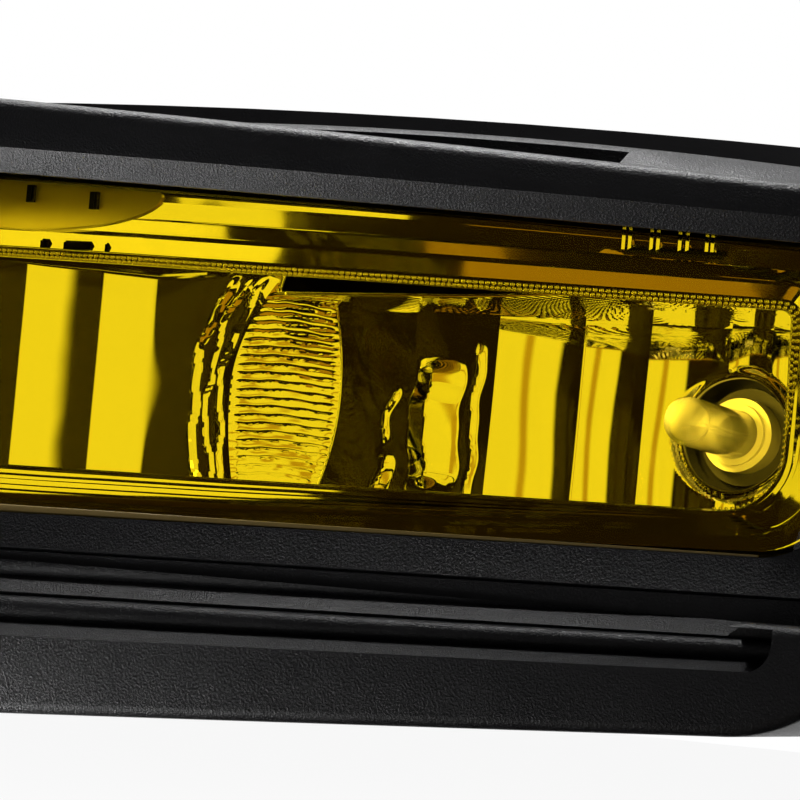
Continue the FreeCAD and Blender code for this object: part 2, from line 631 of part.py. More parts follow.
def make_pivot_pin(side, boss_face):
    """A shoulder screw from outside: its head stays clear of the ear, its end sits in the housing's boss."""
    axis = Vector(side, 0, 0)
    start = boss_face - side * PIVOT_PIN_SEAT
    ear_face = PIVOT_BOSS_GAP + PIVOT_EAR_THICKNESS
    shank = rod(start, PIVOT_Y, PIVOT_Z, PIVOT_PIN_RADIUS, PIVOT_PIN_SEAT + ear_face + BUSH_FLANGE_GAP, axis)
    head_x = boss_face + side * (ear_face + BUSH_FLANGE_GAP)
    head = rod(head_x, PIVOT_Y, PIVOT_Z, PIVOT_HEAD_RADIUS, PIVOT_HEAD, axis)
    slot = box(head_x - FAR, head_x + FAR, PIVOT_Y - 0.6, PIVOT_Y + 0.6, PIVOT_Z - 9, PIVOT_Z + 9)
    tip_x = head_x + side * (PIVOT_HEAD - 1.2)
    beyond = box(min(tip_x, tip_x + side * 9), max(tip_x, tip_x + side * 9), PIVOT_Y - 9, PIVOT_Y + 9,
                 PIVOT_Z - 9, PIVOT_Z + 9)
    return shank.fuse(head).cut(slot.common(beyond))


# ---------------------------------------------------------------- lamp: housing, lens and seal
def reflector_screw_places():
    places = [(x, window_top(x) - REFLECTOR_SCREW_TOP) for x in REFLECTOR_SCREW_X]
    places += [(x, window_bottom(x) + REFLECTOR_SCREW_BOTTOM) for x in REFLECTOR_SCREW_X]
    return places


def make_housing():
    flange = prism(FLANGE, FLANGE_FRONT_Y, FLANGE_BACK_Y)
    bucket = tapered(BUCKET, FLANGE_BACK_Y - 1, BUCKET_BACK, BUCKET_BACK_Y)
    body = flange.fuse(bucket)
    lug_top = window_bottom(AIM_X) + 6.0
    lug_outer = BALL_RADIUS + SOCKET_CLEARANCE + SOCKET_WALL + FIT + AIM_LUG_WALL
    lug = rod(AIM_X, PIVOT_Y - SOCKET_HALF, AIM_Z, lug_outer, 2 * SOCKET_HALF)
    neck = box(AIM_X - lug_outer, AIM_X + lug_outer, PIVOT_Y - SOCKET_HALF, PIVOT_Y + SOCKET_HALF,
               AIM_Z, lug_top)
    bosses = []
    for side, face in pivot_sides():
        bosses.append(rod(face, PIVOT_Y, PIVOT_Z, PIVOT_BOSS_RADIUS, PIVOT_BOSS_LENGTH, Vector(-side, 0, 0)))
    spigot = rod(VENT_X, BUCKET_BACK_Y - 1, VENT_Z, VENT_RADIUS, VENT_LENGTH + 1)
    body = fused([body, lug, neck, spigot])
    inside = tapered(grow(BUCKET, -BUCKET_WALL), FLANGE_BACK_Y - 1,
                     grow(BUCKET_BACK, -BUCKET_WALL), BUCKET_BACK_Y - BUCKET_WALL)
    throat = prism(grow(BUCKET, -BUCKET_WALL), -FAR, FLANGE_BACK_Y - 1)
    body = minus(body, [inside, throat])
    seat = grow(BUCKET, -BUCKET_WALL + 0.5)
    ledge_ring = prism(seat, REFLECTOR_SEAT_Y, REFLECTOR_SEAT_Y + 4)
    ledge_ring = ledge_ring.cut(prism(grow(seat, -REFLECTOR_SEAT_WIDTH), -FAR, FAR))
    posts = [rod(x, REFLECTOR_SEAT_Y, z, REFLECTOR_POST_RADIUS, REFLECTOR_POST)
             for x, z in reflector_screw_places()]
    body = fused([body, ledge_ring] + bosses + posts)
    channel = prism(grow(LENS, SEAT_GAP), -FAR, CHANNEL_FLOOR_Y)
    channel = channel.cut(prism(grow(LENS, -LENS_SKIRT - SEAT_GAP), -FAR, CHANNEL_FLOOR_Y))
    holes = [channel, prism(grow(LENS, -LENS_SKIRT - SEAT_GAP), -FAR, CHANNEL_INNER_Y)]
    holes.append(rod(AIM_X, PIVOT_Y - 20, AIM_Z, lug_outer - AIM_LUG_WALL, 40))
    for side, face in pivot_sides():
        holes.append(rod(face + side, PIVOT_Y, PIVOT_Z, PIVOT_PIN_RADIUS + FIT, PIVOT_PIN_SEAT + 1.5,
                         Vector(-side, 0, 0)))
    for x, z in reflector_screw_places():
        holes.append(rod(x, REFLECTOR_SEAT_Y - 1, z, REFLECTOR_SCREW_RADIUS + FIT, REFLECTOR_SCREW_LENGTH))
    holes.append(rod(BULB_X, 0, BULB_Z, HUB_RADIUS + LUG_CLEARANCE, FAR))
    holes.append(rod(VENT_X, BUCKET_BACK_Y - 6, VENT_Z, VENT_RADIUS - 1.5, FAR))
    return minus(body, holes)


def make_lens():
    """A deep clear cover: a curved face with a skirt that sits in the housing's channel."""
    outer = prism(LENS, LENS_FRONT_Y - 1, LENS_BACK_Y).common(behind_crown(LENS_FRONT_Y))
    outer = outer.makeFillet(LENS_EDGE_RADIUS, front_edges(outer, LENS_FRONT_Y + crown(WINDOW_LEFT) + 1.5))
    inner = prism(grow(LENS, -LENS_SKIRT), LENS_FRONT_Y - 1, 0).common(
        behind_crown(LENS_FRONT_Y + LENS_THICKNESS))
    return outer.cut(inner)


def make_lens_seal():
    ring = prism(grow(LENS, SEAL_SLACK), LENS_BACK_Y, CHANNEL_FLOOR_Y)
    return ring.cut(prism(grow(LENS, -LENS_SKIRT - SEAL_SLACK), -FAR, FAR))


def make_vent_cap():
    """A rubber cap pushed over the housing's breather spigot."""
    start = BUCKET_BACK_Y + VENT_CAP_GAP
    outer = rod(VENT_X, start, VENT_Z, VENT_RADIUS + VENT_CAP_WALL, VENT_LENGTH + VENT_CAP_WALL)
    outer = outer.makeFillet(1.2, [e for e in outer.Edges if e.BoundBox.YMin > start + VENT_LENGTH])
    inner = rod(VENT_X, start - 1, VENT_Z, VENT_RADIUS, VENT_LENGTH + 1 + SEAT_GAP - VENT_CAP_GAP)
    port = box(VENT_X - 1, VENT_X + 1, start - 1, start + 3, VENT_Z - 20, VENT_Z)
    return minus(outer, [inner, port])


# ---------------------------------------------------------------- reflector and trim frame
def plan_face(points, sag):
    """The region in front of the back wall, seen from above: one arc for each column."""
    z = -FAR / 2
    edges = []
    for (x0, y0), (x1, y1) in zip(points, points[1:]):
        a, b = Vector(x0, y0, z), Vector(x1, y1, z)
        across = (b - a).cross(Vector(0, 0, 1)).normalize()
        middle = (a + b) / 2 - across * sag
        edges.append(Part.Arc(a, middle, b).toShape() if sag else Part.LineSegment(a, b).toShape())
    first, last = Vector(*points[0], z), Vector(*points[-1], z)
    front_last, front_first = Vector(last.x, -60, z), Vector(first.x, -60, z)
    edges.append(Part.LineSegment(last, front_last).toShape())
    edges.append(Part.LineSegment(front_last, front_first).toShape())
    edges.append(Part.LineSegment(front_first, first).toShape())
    return Part.Face(Part.Wire(edges)).extrude(Vector(0, 0, FAR))


def make_reflector():
    columns = list(REFLECTOR_COLUMNS)
    columns[0] = (REFLECTOR_LEFT - 1, columns[0][1])
    columns[-1] = (REFLECTOR_RIGHT + 1, columns[-1][1])
    cavity = prism(REFLECTOR, -FAR / 2, FAR / 2).common(plan_face(columns, COLUMN_SAG))
    back = [(x, y + COLUMN_SAG + REFLECTOR_WALL) for x, y in columns]
    back[0] = (columns[0][0] - REFLECTOR_WALL - 1, back[0][1])
    back[-1] = (columns[-1][0] + REFLECTOR_WALL + 1, back[-1][1])
    shell = prism(grow(REFLECTOR, REFLECTOR_WALL), REFLECTOR_RIM_Y, FAR / 2).common(plan_face(back, 0))
    seat = grow(BUCKET, -BUCKET_WALL - SEAT_GAP)
    plate = prism(seat, REFLECTOR_SEAT_Y - REFLECTOR_FLANGE, REFLECTOR_SEAT_Y)
    body = fused([shell, plate])
    body = body.cut(cavity)
    holes = [rod(x, -FAR / 2, z, REFLECTOR_SCREW_RADIUS + FIT, FAR) for x, z in reflector_screw_places()]
    holes.append(rod(BULB_X, 0, BULB_Z, BULB_HOLE_RADIUS, FAR))
    return minus(body, holes)


def make_reflector_screws():
    screws = []
    for x, z in reflector_screw_places():
        top = REFLECTOR_SEAT_Y - REFLECTOR_FLANGE
        head = rod(x, top - REFLECTOR_SCREW_HEAD, z, REFLECTOR_SCREW_HEAD_RADIUS, REFLECTOR_SCREW_HEAD)
        shank = rod(x, top, z, REFLECTOR_SCREW_RADIUS, REFLECTOR_SCREW_LENGTH)
        screws.append(head.fuse(shank))
    return Part.makeCompound(screws)


def make_trim_frame():
    """Stepped bright frame that fills the space between the lens and the reflector's rim."""
    outer = grow(WINDOW, -CHANNEL_WALL - TRIM_GAP)
    inner = grow(REFLECTOR, REFLECTOR_WALL + TRIM_GAP / 2)
    back = REFLECTOR_SEAT_Y - REFLECTOR_FLANGE
    body = prism(outer, TRIM_FRONT_Y, back).common(behind_crown(TRIM_FRONT_Y))
    cuts = [prism(inner, -FAR / 2, FAR / 2)]
    for y, share in zip(TRIM_STEP_Y, TRIM_STEP_SHARE):
        cuts.append(prism(between(outer, inner, share), -FAR / 2, 0).cut(behind_crown(y)))
    hollow = prism(grow(outer, -TRIM_WALL), -FAR / 2, FAR / 2)
    hollow = hollow.cut(prism(grow(inner, TRIM_WALL), -FAR / 2, FAR / 2))
    cuts.append(hollow.common(behind_crown(TRIM_STEP_Y[1] + TRIM_WALL)))
    pocket_y = back - REFLECTOR_SCREW_HEAD - SEAT_GAP
    for x, z in reflector_screw_places():
        cuts.append(rod(x, pocket_y, z, REFLECTOR_SCREW_HEAD_RADIUS + SEAT_GAP, 10.0))
    return minus(body, cuts)


# ---------------------------------------------------------------- bulb
def hex_bar(x, y, z, across_flats, length):
    corner = across_flats / math.sqrt(3)
    points = [Vector(x + corner * math.cos(math.pi * k / 3), y, z + corner * math.sin(math.pi * k / 3))
              for k in range(7)]
    return Part.Face(Part.makePolygon(points)).extrude(Vector(0, length, 0))


def sector(x, z, inner, outer, y0, y1, middle, width):
    """Part of a ring about the Y axis, width degrees wide round the middle angle."""
    wedge = Part.makeCylinder(outer, y1 - y0, Vector(x, y0, z), Vector(0, 1, 0), width)
    wedge = wedge.cut(rod(x, y0, z, inner, y1 - y0))
    wedge.rotate(Vector(x, y0, z), Vector(0, 1, 0), middle - width / 2)
    return wedge


def lug_angles():
    return [k * 360.0 / LUG_COUNT for k in range(LUG_COUNT)]


def make_bulb_collar():
    """The ring on the back of the housing that the bulb holder twists into."""
    start = BUCKET_BACK_Y
    room = HUB_RADIUS + LUG_REACH + LUG_CLEARANCE
    body = rod(BULB_X, start, BULB_Z, room + COLLAR_WALL, COLLAR_DEPTH)
    lug_back = start + LUG_INSET + LUG_THICKNESS
    cuts = [
        rod(BULB_X, start - 1, BULB_Z, HUB_RADIUS + LUG_CLEARANCE, COLLAR_DEPTH + 2),
        rod(BULB_X, start + LUG_INSET - LUG_CLEARANCE, BULB_Z, room, LUG_THICKNESS + 2 * LUG_CLEARANCE),
    ]
    for angle in lug_angles():
        cuts.append(sector(BULB_X, BULB_Z, HUB_RADIUS - 1, room, lug_back, start + COLLAR_DEPTH + 1,
                           angle + BULB_TWIST, LUG_ANGLE + 8))
    return minus(body, cuts)


def make_bulb_holder():
    hub_front = BUCKET_BACK_Y - HUB_INSIDE
    flange_y = BUCKET_BACK_Y + COLLAR_DEPTH + BULB_SEAL_GAP + BULB_SEAL
    hub = rod(BULB_X, hub_front, BULB_Z, HUB_RADIUS, flange_y - hub_front)
    flange = rod(BULB_X, flange_y, BULB_Z, HOLDER_FLANGE_RADIUS, HOLDER_FLANGE)
    lugs = [sector(BULB_X, BULB_Z, HUB_RADIUS - 1, HUB_RADIUS + LUG_REACH, BUCKET_BACK_Y + LUG_INSET,
                   BUCKET_BACK_Y + LUG_INSET + LUG_THICKNESS, angle, LUG_ANGLE) for angle in lug_angles()]
    neck_y = flange_y + HOLDER_FLANGE
    neck = rod(BULB_X, neck_y, BULB_Z, HOLDER_NECK_RADIUS, HOLDER_NECK)
    plug_y = neck_y + HOLDER_NECK
    half_w, half_h = PLUG_WIDTH / 2, PLUG_HEIGHT / 2
    plug = prism([
        (BULB_X - half_w, BULB_Z + half_h, 3.0),
        (BULB_X + half_w, BULB_Z + half_h, 3.0),
        (BULB_X + half_w, BULB_Z - half_h, 3.0),
        (BULB_X - half_w, BULB_Z - half_h, 3.0),
    ], plug_y - 2, plug_y + PLUG_DEPTH)
    grips = []
    for k in range(2):
        turn = math.pi * k
        x, z = BULB_X + math.cos(turn) * HOLDER_NECK_RADIUS, BULB_Z + math.sin(turn) * HOLDER_NECK_RADIUS
        grips.append(box(x - 5, x + 5, neck_y, neck_y + HOLDER_NECK - 2, z - 1.5, z + 1.5))
    latch = box(BULB_X - 3, BULB_X + 3, plug_y + PLUG_DEPTH - 9, plug_y + PLUG_DEPTH - 4,
                BULB_Z + half_h - 0.5, BULB_Z + half_h + 2)
    body = fused([hub, flange, neck, plug, latch] + lugs + grips)
    room = prism([
        (BULB_X - half_w + PLUG_WALL, BULB_Z + half_h - PLUG_WALL, 1.5),
        (BULB_X + half_w - PLUG_WALL, BULB_Z + half_h - PLUG_WALL, 1.5),
        (BULB_X + half_w - PLUG_WALL, BULB_Z - half_h + PLUG_WALL, 1.5),
        (BULB_X - half_w + PLUG_WALL, BULB_Z - half_h + PLUG_WALL, 1.5),
    ], plug_y + 1, plug_y + PLUG_DEPTH + 1)
    socket = rod(BULB_X, hub_front - 1, BULB_Z, BASE_RING_RADIUS - 2 + FIT, 1 + BASE_SPIGOT)
    slots = [box(x - 3 - FIT, x + 3 + FIT, plug_y - 6, plug_y + 2, BULB_Z - 0.4 - FIT, BULB_Z + 0.4 + FIT)
             for x in terminal_places()]
    return minus(body, [room, socket] + slots)


def terminal_places():
    return [BULB_X - PLUG_WIDTH / 5, BULB_X + PLUG_WIDTH / 5]


def make_bulb_terminals():
    plug_y = BUCKET_BACK_Y + COLLAR_DEPTH + BULB_SEAL_GAP + BULB_SEAL + HOLDER_FLANGE + HOLDER_NECK
    blades = [box(x - 3, x + 3, plug_y - 5.5, plug_y + PLUG_DEPTH - 5, BULB_Z - 0.4, BULB_Z + 0.4)
              for x in terminal_places()]
    return Part.makeCompound(blades)


def make_bulb_seal():
    start = BUCKET_BACK_Y + COLLAR_DEPTH + BULB_SEAL_GAP
    return pipe(BULB_X, start, BULB_Z, HOLDER_FLANGE_RADIUS - 0.8, HUB_RADIUS + FIT, BULB_SEAL)


def make_bulb_base():
    """Metal ring and spigot that carry the glass; the spigot sits in the holder."""
    hub_front = BUCKET_BACK_Y - HUB_INSIDE
    ring = rod(BULB_X, BASE_RING_Y, BULB_Z, BASE_RING_RADIUS, hub_front - BASE_RING_Y)
    collar = rod(BULB_X, BASE_RING_Y - 2.0, BULB_Z, BASE_RING_RADIUS - 1.6, 2.5)
    spigot = rod(BULB_X, hub_front - 1, BULB_Z, BASE_RING_RADIUS - 2, BASE_SPIGOT)
    bore = rod(BULB_X, BASE_RING_Y - 5, BULB_Z, GLASS_RADIUS + FIT, 5 + GLASS_SEAT)
    return fused([ring, collar, spigot]).cut(bore)


def make_bulb_glass():
    """A clear round-ended tube, open inside."""
    tip_centre = GLASS_TIP_Y + GLASS_RADIUS
    foot = BASE_RING_Y + GLASS_SEAT - FIT
    tube = rod(BULB_X, tip_centre, BULB_Z, GLASS_RADIUS, foot - tip_centre)
    outer = tube.fuse(Part.makeSphere(GLASS_RADIUS, Vector(BULB_X, tip_centre, BULB_Z)))
    inner_radius = GLASS_RADIUS - GLASS_WALL
    hollow = rod(BULB_X, tip_centre, BULB_Z, inner_radius, foot - tip_centre - 3)
    hollow = hollow.fuse(Part.makeSphere(inner_radius, Vector(BULB_X, tip_centre, BULB_Z)))
    return outer.removeSplitter().cut(hollow)


def make_bulb_leads():
    """Two stiff wires that stand in the glass and carry the filament."""
    foot = BASE_RING_Y + GLASS_SEAT - FIT - 3
    wires = []
    for side in (-1, 1):
        x = BULB_X + side * FILAMENT_LENGTH / 2
        wire = rod(x, FILAMENT_Y, BULB_Z, LEAD_RADIUS, foot - FILAMENT_Y)
        wires.append(wire)
    return Part.makeCompound(wires)


def make_bulb_filament():
    half = FILAMENT_LENGTH / 2
    y = FILAMENT_Y - FILAMENT_RADIUS
    bar = rod(BULB_X - half, y, BULB_Z, FILAMENT_RADIUS, FILAMENT_LENGTH, Vector(1, 0, 0))
    return bar


# ---------------------------------------------------------------- aim adjuster
def make_aim_screw():
    head_y = AIM_TAB_Y + AIM_TAB_THICKNESS + AIM_SIDE_GAP
    shank = rod(AIM_X, AIM_SHANK_FRONT_Y, AIM_Z, AIM_SHANK_RADIUS, head_y - AIM_SHANK_FRONT_Y + 1)
    washer = rod(AIM_X, head_y, AIM_Z, AIM_WASHER_RADIUS, AIM_WASHER)
    head = hex_bar(AIM_X, head_y, AIM_Z, AIM_HEX, AIM_HEAD)
    slot = box(AIM_X - 9, AIM_X + 9, head_y + AIM_HEAD - 1.5, head_y + AIM_HEAD + 1, AIM_Z - 0.7, AIM_Z + 0.7)
    return fused([shank, washer, head]).cut(slot)


def make_aim_clip():
    """Spring clip on the screw, in front of the carrier's tab."""
    start = AIM_TAB_Y - AIM_SIDE_GAP - AIM_CLIP
    return pipe(AIM_X, start, AIM_Z, AIM_CLIP_RADIUS, AIM_SHANK_RADIUS + FIT, AIM_CLIP)


def make_aim_nut():
    ball = Part.makeSphere(BALL_RADIUS, Vector(AIM_X, PIVOT_Y, AIM_Z))
    ball = ball.common(box(AIM_X - 9, AIM_X + 9, PIVOT_Y - BALL_HALF_LENGTH, PIVOT_Y + BALL_HALF_LENGTH,
                           AIM_Z - 9, AIM_Z + 9))
    return ball.cut(rod(AIM_X, PIVOT_Y - 20, AIM_Z, AIM_SHANK_RADIUS + AIM_RUNNING, 40))


def make_aim_socket():
    outer = rod(AIM_X, PIVOT_Y - SOCKET_HALF, AIM_Z, BALL_RADIUS + SOCKET_CLEARANCE + SOCKET_WALL,
                2 * SOCKET_HALF)
    return outer.cut(Part.makeSphere(BALL_RADIUS + SOCKET_CLEARANCE, Vector(AIM_X, PIVOT_Y, AIM_Z)))


# ---------------------------------------------------------------- every piece
def make_all():
    left, right = pivot_sides()
    return {
        "bezel": make_bezel(),
        "bezel_screws": make_bezel_screws(),
        "carrier": make_carrier(),
        "mount_sleeves": make_mount_sleeves(),
        "pivot_bush_left": make_pivot_bush(*left),
        "pivot_bush_right": make_pivot_bush(*right),
        "pivot_pin_left": make_pivot_pin(*left),
        "pivot_pin_right": make_pivot_pin(*right),
        "housing": make_housing(),
        "lens": make_lens(),
        "lens_seal": make_lens_seal(),
        "vent_cap": make_vent_cap(),
        "reflector": make_reflector(),
        "reflector_screws": make_reflector_screws(),
        "trim_frame": make_trim_frame(),
        "bulb_collar": make_bulb_collar(),
        "bulb_holder": make_bulb_holder(),
        "bulb_seal": make_bulb_seal(),
        "bulb_base": make_bulb_base(),
        "bulb_glass": make_bulb_glass(),
        "bulb_leads": make_bulb_leads(),
        "bulb_filament": make_bulb_filament(),
        "bulb_terminals": make_bulb_terminals(),
        "aim_screw": make_aim_screw(),
        "aim_clip": make_aim_clip(),
        "aim_nut": make_aim_nut(),
        "aim_socket": make_aim_socket(),
    }


os.makedirs("parts", exist_ok=True)
for name, shape in make_all().items():
    print(name, len(shape.Solids), "solid(s)", "ok" if shape.isValid() else "NOT VALID", round(shape.Volume))
    shape.exportStep("parts/" + name + ".step")
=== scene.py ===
# %% [markdown]
# # A truck's fog lamp
# The lamp was engineered in CAD first, and this script gives it its looks: a black moulded bezel,
# a clear yellow lens, and behind it a mirror-bright reflector with a halogen bulb. Everything here is in
# the CAD model's own frame: +X right, +Y back into the vehicle, +Z up. Blender works in metres, and shapes
# whose sizes are written in millimetres are scaled as their meshes are made.

# %% Load the frame
import json
import math

import bmesh
import bpy
from mathutils import Matrix, Vector


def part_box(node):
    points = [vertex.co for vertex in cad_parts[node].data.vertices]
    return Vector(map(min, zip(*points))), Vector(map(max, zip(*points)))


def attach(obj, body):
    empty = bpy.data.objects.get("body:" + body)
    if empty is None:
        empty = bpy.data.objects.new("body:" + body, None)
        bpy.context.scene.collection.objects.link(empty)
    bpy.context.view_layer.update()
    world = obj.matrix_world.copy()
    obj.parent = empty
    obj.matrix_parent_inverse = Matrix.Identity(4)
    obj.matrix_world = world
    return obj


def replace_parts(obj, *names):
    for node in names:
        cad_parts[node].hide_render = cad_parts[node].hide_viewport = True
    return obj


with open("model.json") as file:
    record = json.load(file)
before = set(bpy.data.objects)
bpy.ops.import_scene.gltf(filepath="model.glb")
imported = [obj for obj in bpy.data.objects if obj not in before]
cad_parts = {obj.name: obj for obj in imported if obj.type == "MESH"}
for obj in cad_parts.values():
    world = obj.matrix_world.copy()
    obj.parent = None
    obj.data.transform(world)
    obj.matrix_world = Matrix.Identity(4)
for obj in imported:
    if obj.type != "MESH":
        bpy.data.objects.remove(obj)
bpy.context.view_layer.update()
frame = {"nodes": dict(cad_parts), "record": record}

MM = 0.001
CAD_MERGE = 2e-6     # points nearer than this are one, in metres
DRAWN_MERGE = 1e-6

# %% [markdown]
# ## Small helpers
# A CAD node arrives as loose triangles. To make its round parts shine smoothly, each one is copied, its
# doubled points are merged, and faces that meet at a shallow angle are shaded smooth. The copy then stands
# in for the node. Flat ground stays flat because only shallow angles are smoothed.


# %% Helpers for pieces
def give_material(obj, material):
    obj.data.materials.clear()
    obj.data.materials.append(material)


def smooth_by_angle(obj, degrees):
    bpy.ops.object.select_all(action="DESELECT")
    obj.select_set(True)
    bpy.context.view_layer.objects.active = obj
    bpy.ops.object.shade_smooth_by_angle(angle=math.radians(degrees))


def node_body(node):
    """The name of the CAD body that a node belongs to."""
    for body, nodes in frame["record"]["behaviour"]["bodies"].items():
        if node in nodes:
            return body


def new_piece(name, mesh, body, material, smooth_angle):
    """A finished mesh becomes a piece that rides on a body."""
    obj = bpy.data.objects.new(name, mesh)
    bpy.context.collection.objects.link(obj)
    give_material(obj, material)
    smooth_by_angle(obj, smooth_angle)
    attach(obj, body)
    print("made", name, len(mesh.polygons), "faces")
    return obj


def dress(node, material, smooth_angle):
    """A merged copy of a CAD node stands for it."""
    mesh = frame["nodes"][node].data.copy()
    mesh.name = node + "_look"
    work = bmesh.new()
    work.from_mesh(mesh)
    bmesh.ops.remove_doubles(work, verts=work.verts, dist=CAD_MERGE)
    work.to_mesh(mesh)
    work.free()
    if "custom_normal" in mesh.attributes:
        mesh.attributes.remove(mesh.attributes["custom_normal"])
    obj = new_piece(node + "_look", mesh, node_body(node), material, smooth_angle)
    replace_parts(obj, node)


def mesh_from(name, points, faces):
    mesh = bpy.data.meshes.new(name)
    mesh.from_pydata([Vector(p) * MM for p in points], [], faces)
    work = bmesh.new()
    work.from_mesh(mesh)
    bmesh.ops.remove_doubles(work, verts=work.verts, dist=DRAWN_MERGE)
    work.to_mesh(mesh)
    work.free()
    mesh.validate()
    return mesh


# %% [markdown]
# ## Geometry Nodes for whatever repeats
# The rope-like rim is some 370 little beads, the comb is a row of ribs and the filament is a coil. Each
# comes from a small Geometry Nodes tree with named inputs, so one number changes the whole row. The helpers
# below start a tree, join nodes, and turn the finished result into a plain mesh.


# %% Geometry Nodes helpers
def geometry_tree(name, inputs):
    """A tree with a Geometry input, the named inputs, and a Geometry output."""
    tree = bpy.data.node_groups.new(name, "GeometryNodeTree")
    for label, kind, value in [("Geometry", "Geometry", None)] + inputs:
        socket = tree.interface.new_socket(label, in_out="INPUT", socket_type="NodeSocket" + kind)
        if value is not None:
            socket.default_value = value
    tree.interface.new_socket("Geometry", in_out="OUTPUT", socket_type="NodeSocketGeometry")
    return tree, tree.nodes.new("NodeGroupInput"), tree.nodes.new("NodeGroupOutput")


def add_node(tree, kind, links=None, **values):
    """A node whose inputs are linked to sockets or set to plain values."""
    node = tree.nodes.new(kind)
    for label, value in values.items():
        node.inputs[label.replace("_", " ")].default_value = value
    for label, socket in (links or {}).items():
        tree.links.new(socket, node.inputs[label])
    return node


def end_tree(tree, inp, out, geometry):
    """Every tree ends the same way: real geometry, with its material set."""
    real = add_node(tree, "GeometryNodeRealizeInstances", {"Geometry": geometry})
    painted = add_node(tree, "GeometryNodeSetMaterial", {"Geometry": real.outputs[0],
                                                         "Material": inp.outputs["Material"]})
    tree.links.new(painted.outputs[0], out.inputs["Geometry"])


def grow_mesh(tree, start, **values):
    """Runs a tree on a starting mesh and returns the result as a plain mesh."""
    obj = bpy.data.objects.new(tree.name, start)
    bpy.context.collection.objects.link(obj)
    modifier = obj.modifiers.new(tree.name, "NODES")
    modifier.node_group = tree
    for item in tree.interface.items_tree:
        label = item.name.replace(" ", "_")
        if item.in_out == "INPUT" and label in values:
            modifier[item.identifier] = values[label]
    depsgraph = bpy.context.evaluated_depsgraph_get()
    mesh = bpy.data.meshes.new_from_object(obj.evaluated_get(depsgraph), depsgraph=depsgraph)
    obj.modifiers.remove(modifier)
    bpy.data.objects.remove(obj)
    mesh.name = tree.name
    return mesh


def line_mesh(name, points, closed=False):
    """A mesh of nothing but edges, for a tree to grow things along; points in millimetres."""
    mesh = bpy.data.meshes.new(name)
    edges = [(i, i + 1) for i in range(len(points) - 1)]
    mesh.from_pydata([Vector(p) * MM for p in points], edges + [(len(points) - 1, 0)] * closed, [])
    return mesh


def point_mesh(name, points):
    mesh = bpy.data.meshes.new(name)
    mesh.from_pydata([Vector(p) * MM for p in points], [], [])
    return mesh


# %% The trees: beads along a line, a wire along a line, blocks at points, a coil
def make_bead_tree():
    tree, inp, out = geometry_tree("beads on a line", [
        ("Pitch", "Float", 0.0016), ("Radius", "Float", 0.0005), ("Material", "Material", None)])
    curve = add_node(tree, "GeometryNodeMeshToCurve", {"Mesh": inp.outputs["Geometry"]})
    even = add_node(tree, "GeometryNodeResampleCurve", {"Curve": curve.outputs[0]})
    even.mode = "LENGTH"
    tree.links.new(inp.outputs["Pitch"], even.inputs["Length"])
    bead = add_node(tree, "GeometryNodeMeshUVSphere", {"Radius": inp.outputs["Radius"]},
                    Segments=8, Rings=5)
    placed = add_node(tree, "GeometryNodeInstanceOnPoints", {"Points": even.outputs[0],
                                                             "Instance": bead.outputs[0]})
    end_tree(tree, inp, out, placed.outputs[0])
    return tree


def make_wire_tree():
    tree, inp, out = geometry_tree("wire on a line", [
        ("Radius", "Float", 0.0003), ("Material", "Material", None)])
    curve = add_node(tree, "GeometryNodeMeshToCurve", {"Mesh": inp.outputs["Geometry"]})
    ring = add_node(tree, "GeometryNodeCurvePrimitiveCircle", {"Radius": inp.outputs["Radius"]},
                    Resolution=8)
    tube = add_node(tree, "GeometryNodeCurveToMesh", {"Curve": curve.outputs[0],
                                                      "Profile Curve": ring.outputs[0]}, Fill_Caps=True)
    end_tree(tree, inp, out, tube.outputs[0])
    return tree


def make_block_tree():
    tree, inp, out = geometry_tree("blocks at points", [
        ("Size", "Vector", (0.001, 0.001, 0.001)), ("Turn", "Vector", (0.0, 0.0, 0.0)),
        ("Material", "Material", None)])
    block = add_node(tree, "GeometryNodeMeshCube", {"Size": inp.outputs["Size"]})
    turned = add_node(tree, "GeometryNodeTransform", {"Geometry": block.outputs[0],
                                                      "Rotation": inp.outputs["Turn"]})
    placed = add_node(tree, "GeometryNodeInstanceOnPoints", {"Points": inp.outputs["Geometry"],
                                                             "Instance": turned.outputs[0]})
    end_tree(tree, inp, out, placed.outputs[0])
    return tree


def make_coil_tree():
    tree, inp, out = geometry_tree("coil", [
        ("Turns", "Float", 9.0), ("Coil Radius", "Float", 0.0005), ("Length", "Float", 0.004),
        ("Wire", "Float", 0.0001), ("Place", "Vector", (0.0, 0.0, 0.0)), ("Material", "Material", None)])
    spiral = add_node(tree, "GeometryNodeCurveSpiral", {
        "Rotations": inp.outputs["Turns"], "Start Radius": inp.outputs["Coil Radius"],
        "End Radius": inp.outputs["Coil Radius"], "Height": inp.outputs["Length"]}, Resolution=16)
    ring = add_node(tree, "GeometryNodeCurvePrimitiveCircle", {"Radius": inp.outputs["Wire"]}, Resolution=6)
    tube = add_node(tree, "GeometryNodeCurveToMesh", {"Curve": spiral.outputs[0],
                                                      "Profile Curve": ring.outputs[0]}, Fill_Caps=True)
    placed = add_node(tree, "GeometryNodeTransform", {"Geometry": tube.outputs[0],
                                                      "Translation": inp.outputs["Place"]})
    placed.inputs["Rotation"].default_value = (0.0, math.radians(90.0), 0.0)
    end_tree(tree, inp, out, placed.outputs[0])
    return tree


BEADS, WIRE_LINE = make_bead_tree(), make_wire_tree()
BLOCKS, COIL = make_block_tree(), make_coil_tree()
print("geometry trees:", [t.name for t in (BEADS, WIRE_LINE, BLOCKS, COIL)])

# %% [markdown]
# ## Shader groups
# Moulded plastic has a fine grain, everything that has been handled carries a little dust, and coated metal
# is never perfectly flat. These three effects are needed by several materials, so each is a node group with
# named inputs. A group only puts out masks, values and heights. The Principled shader stays in the material.


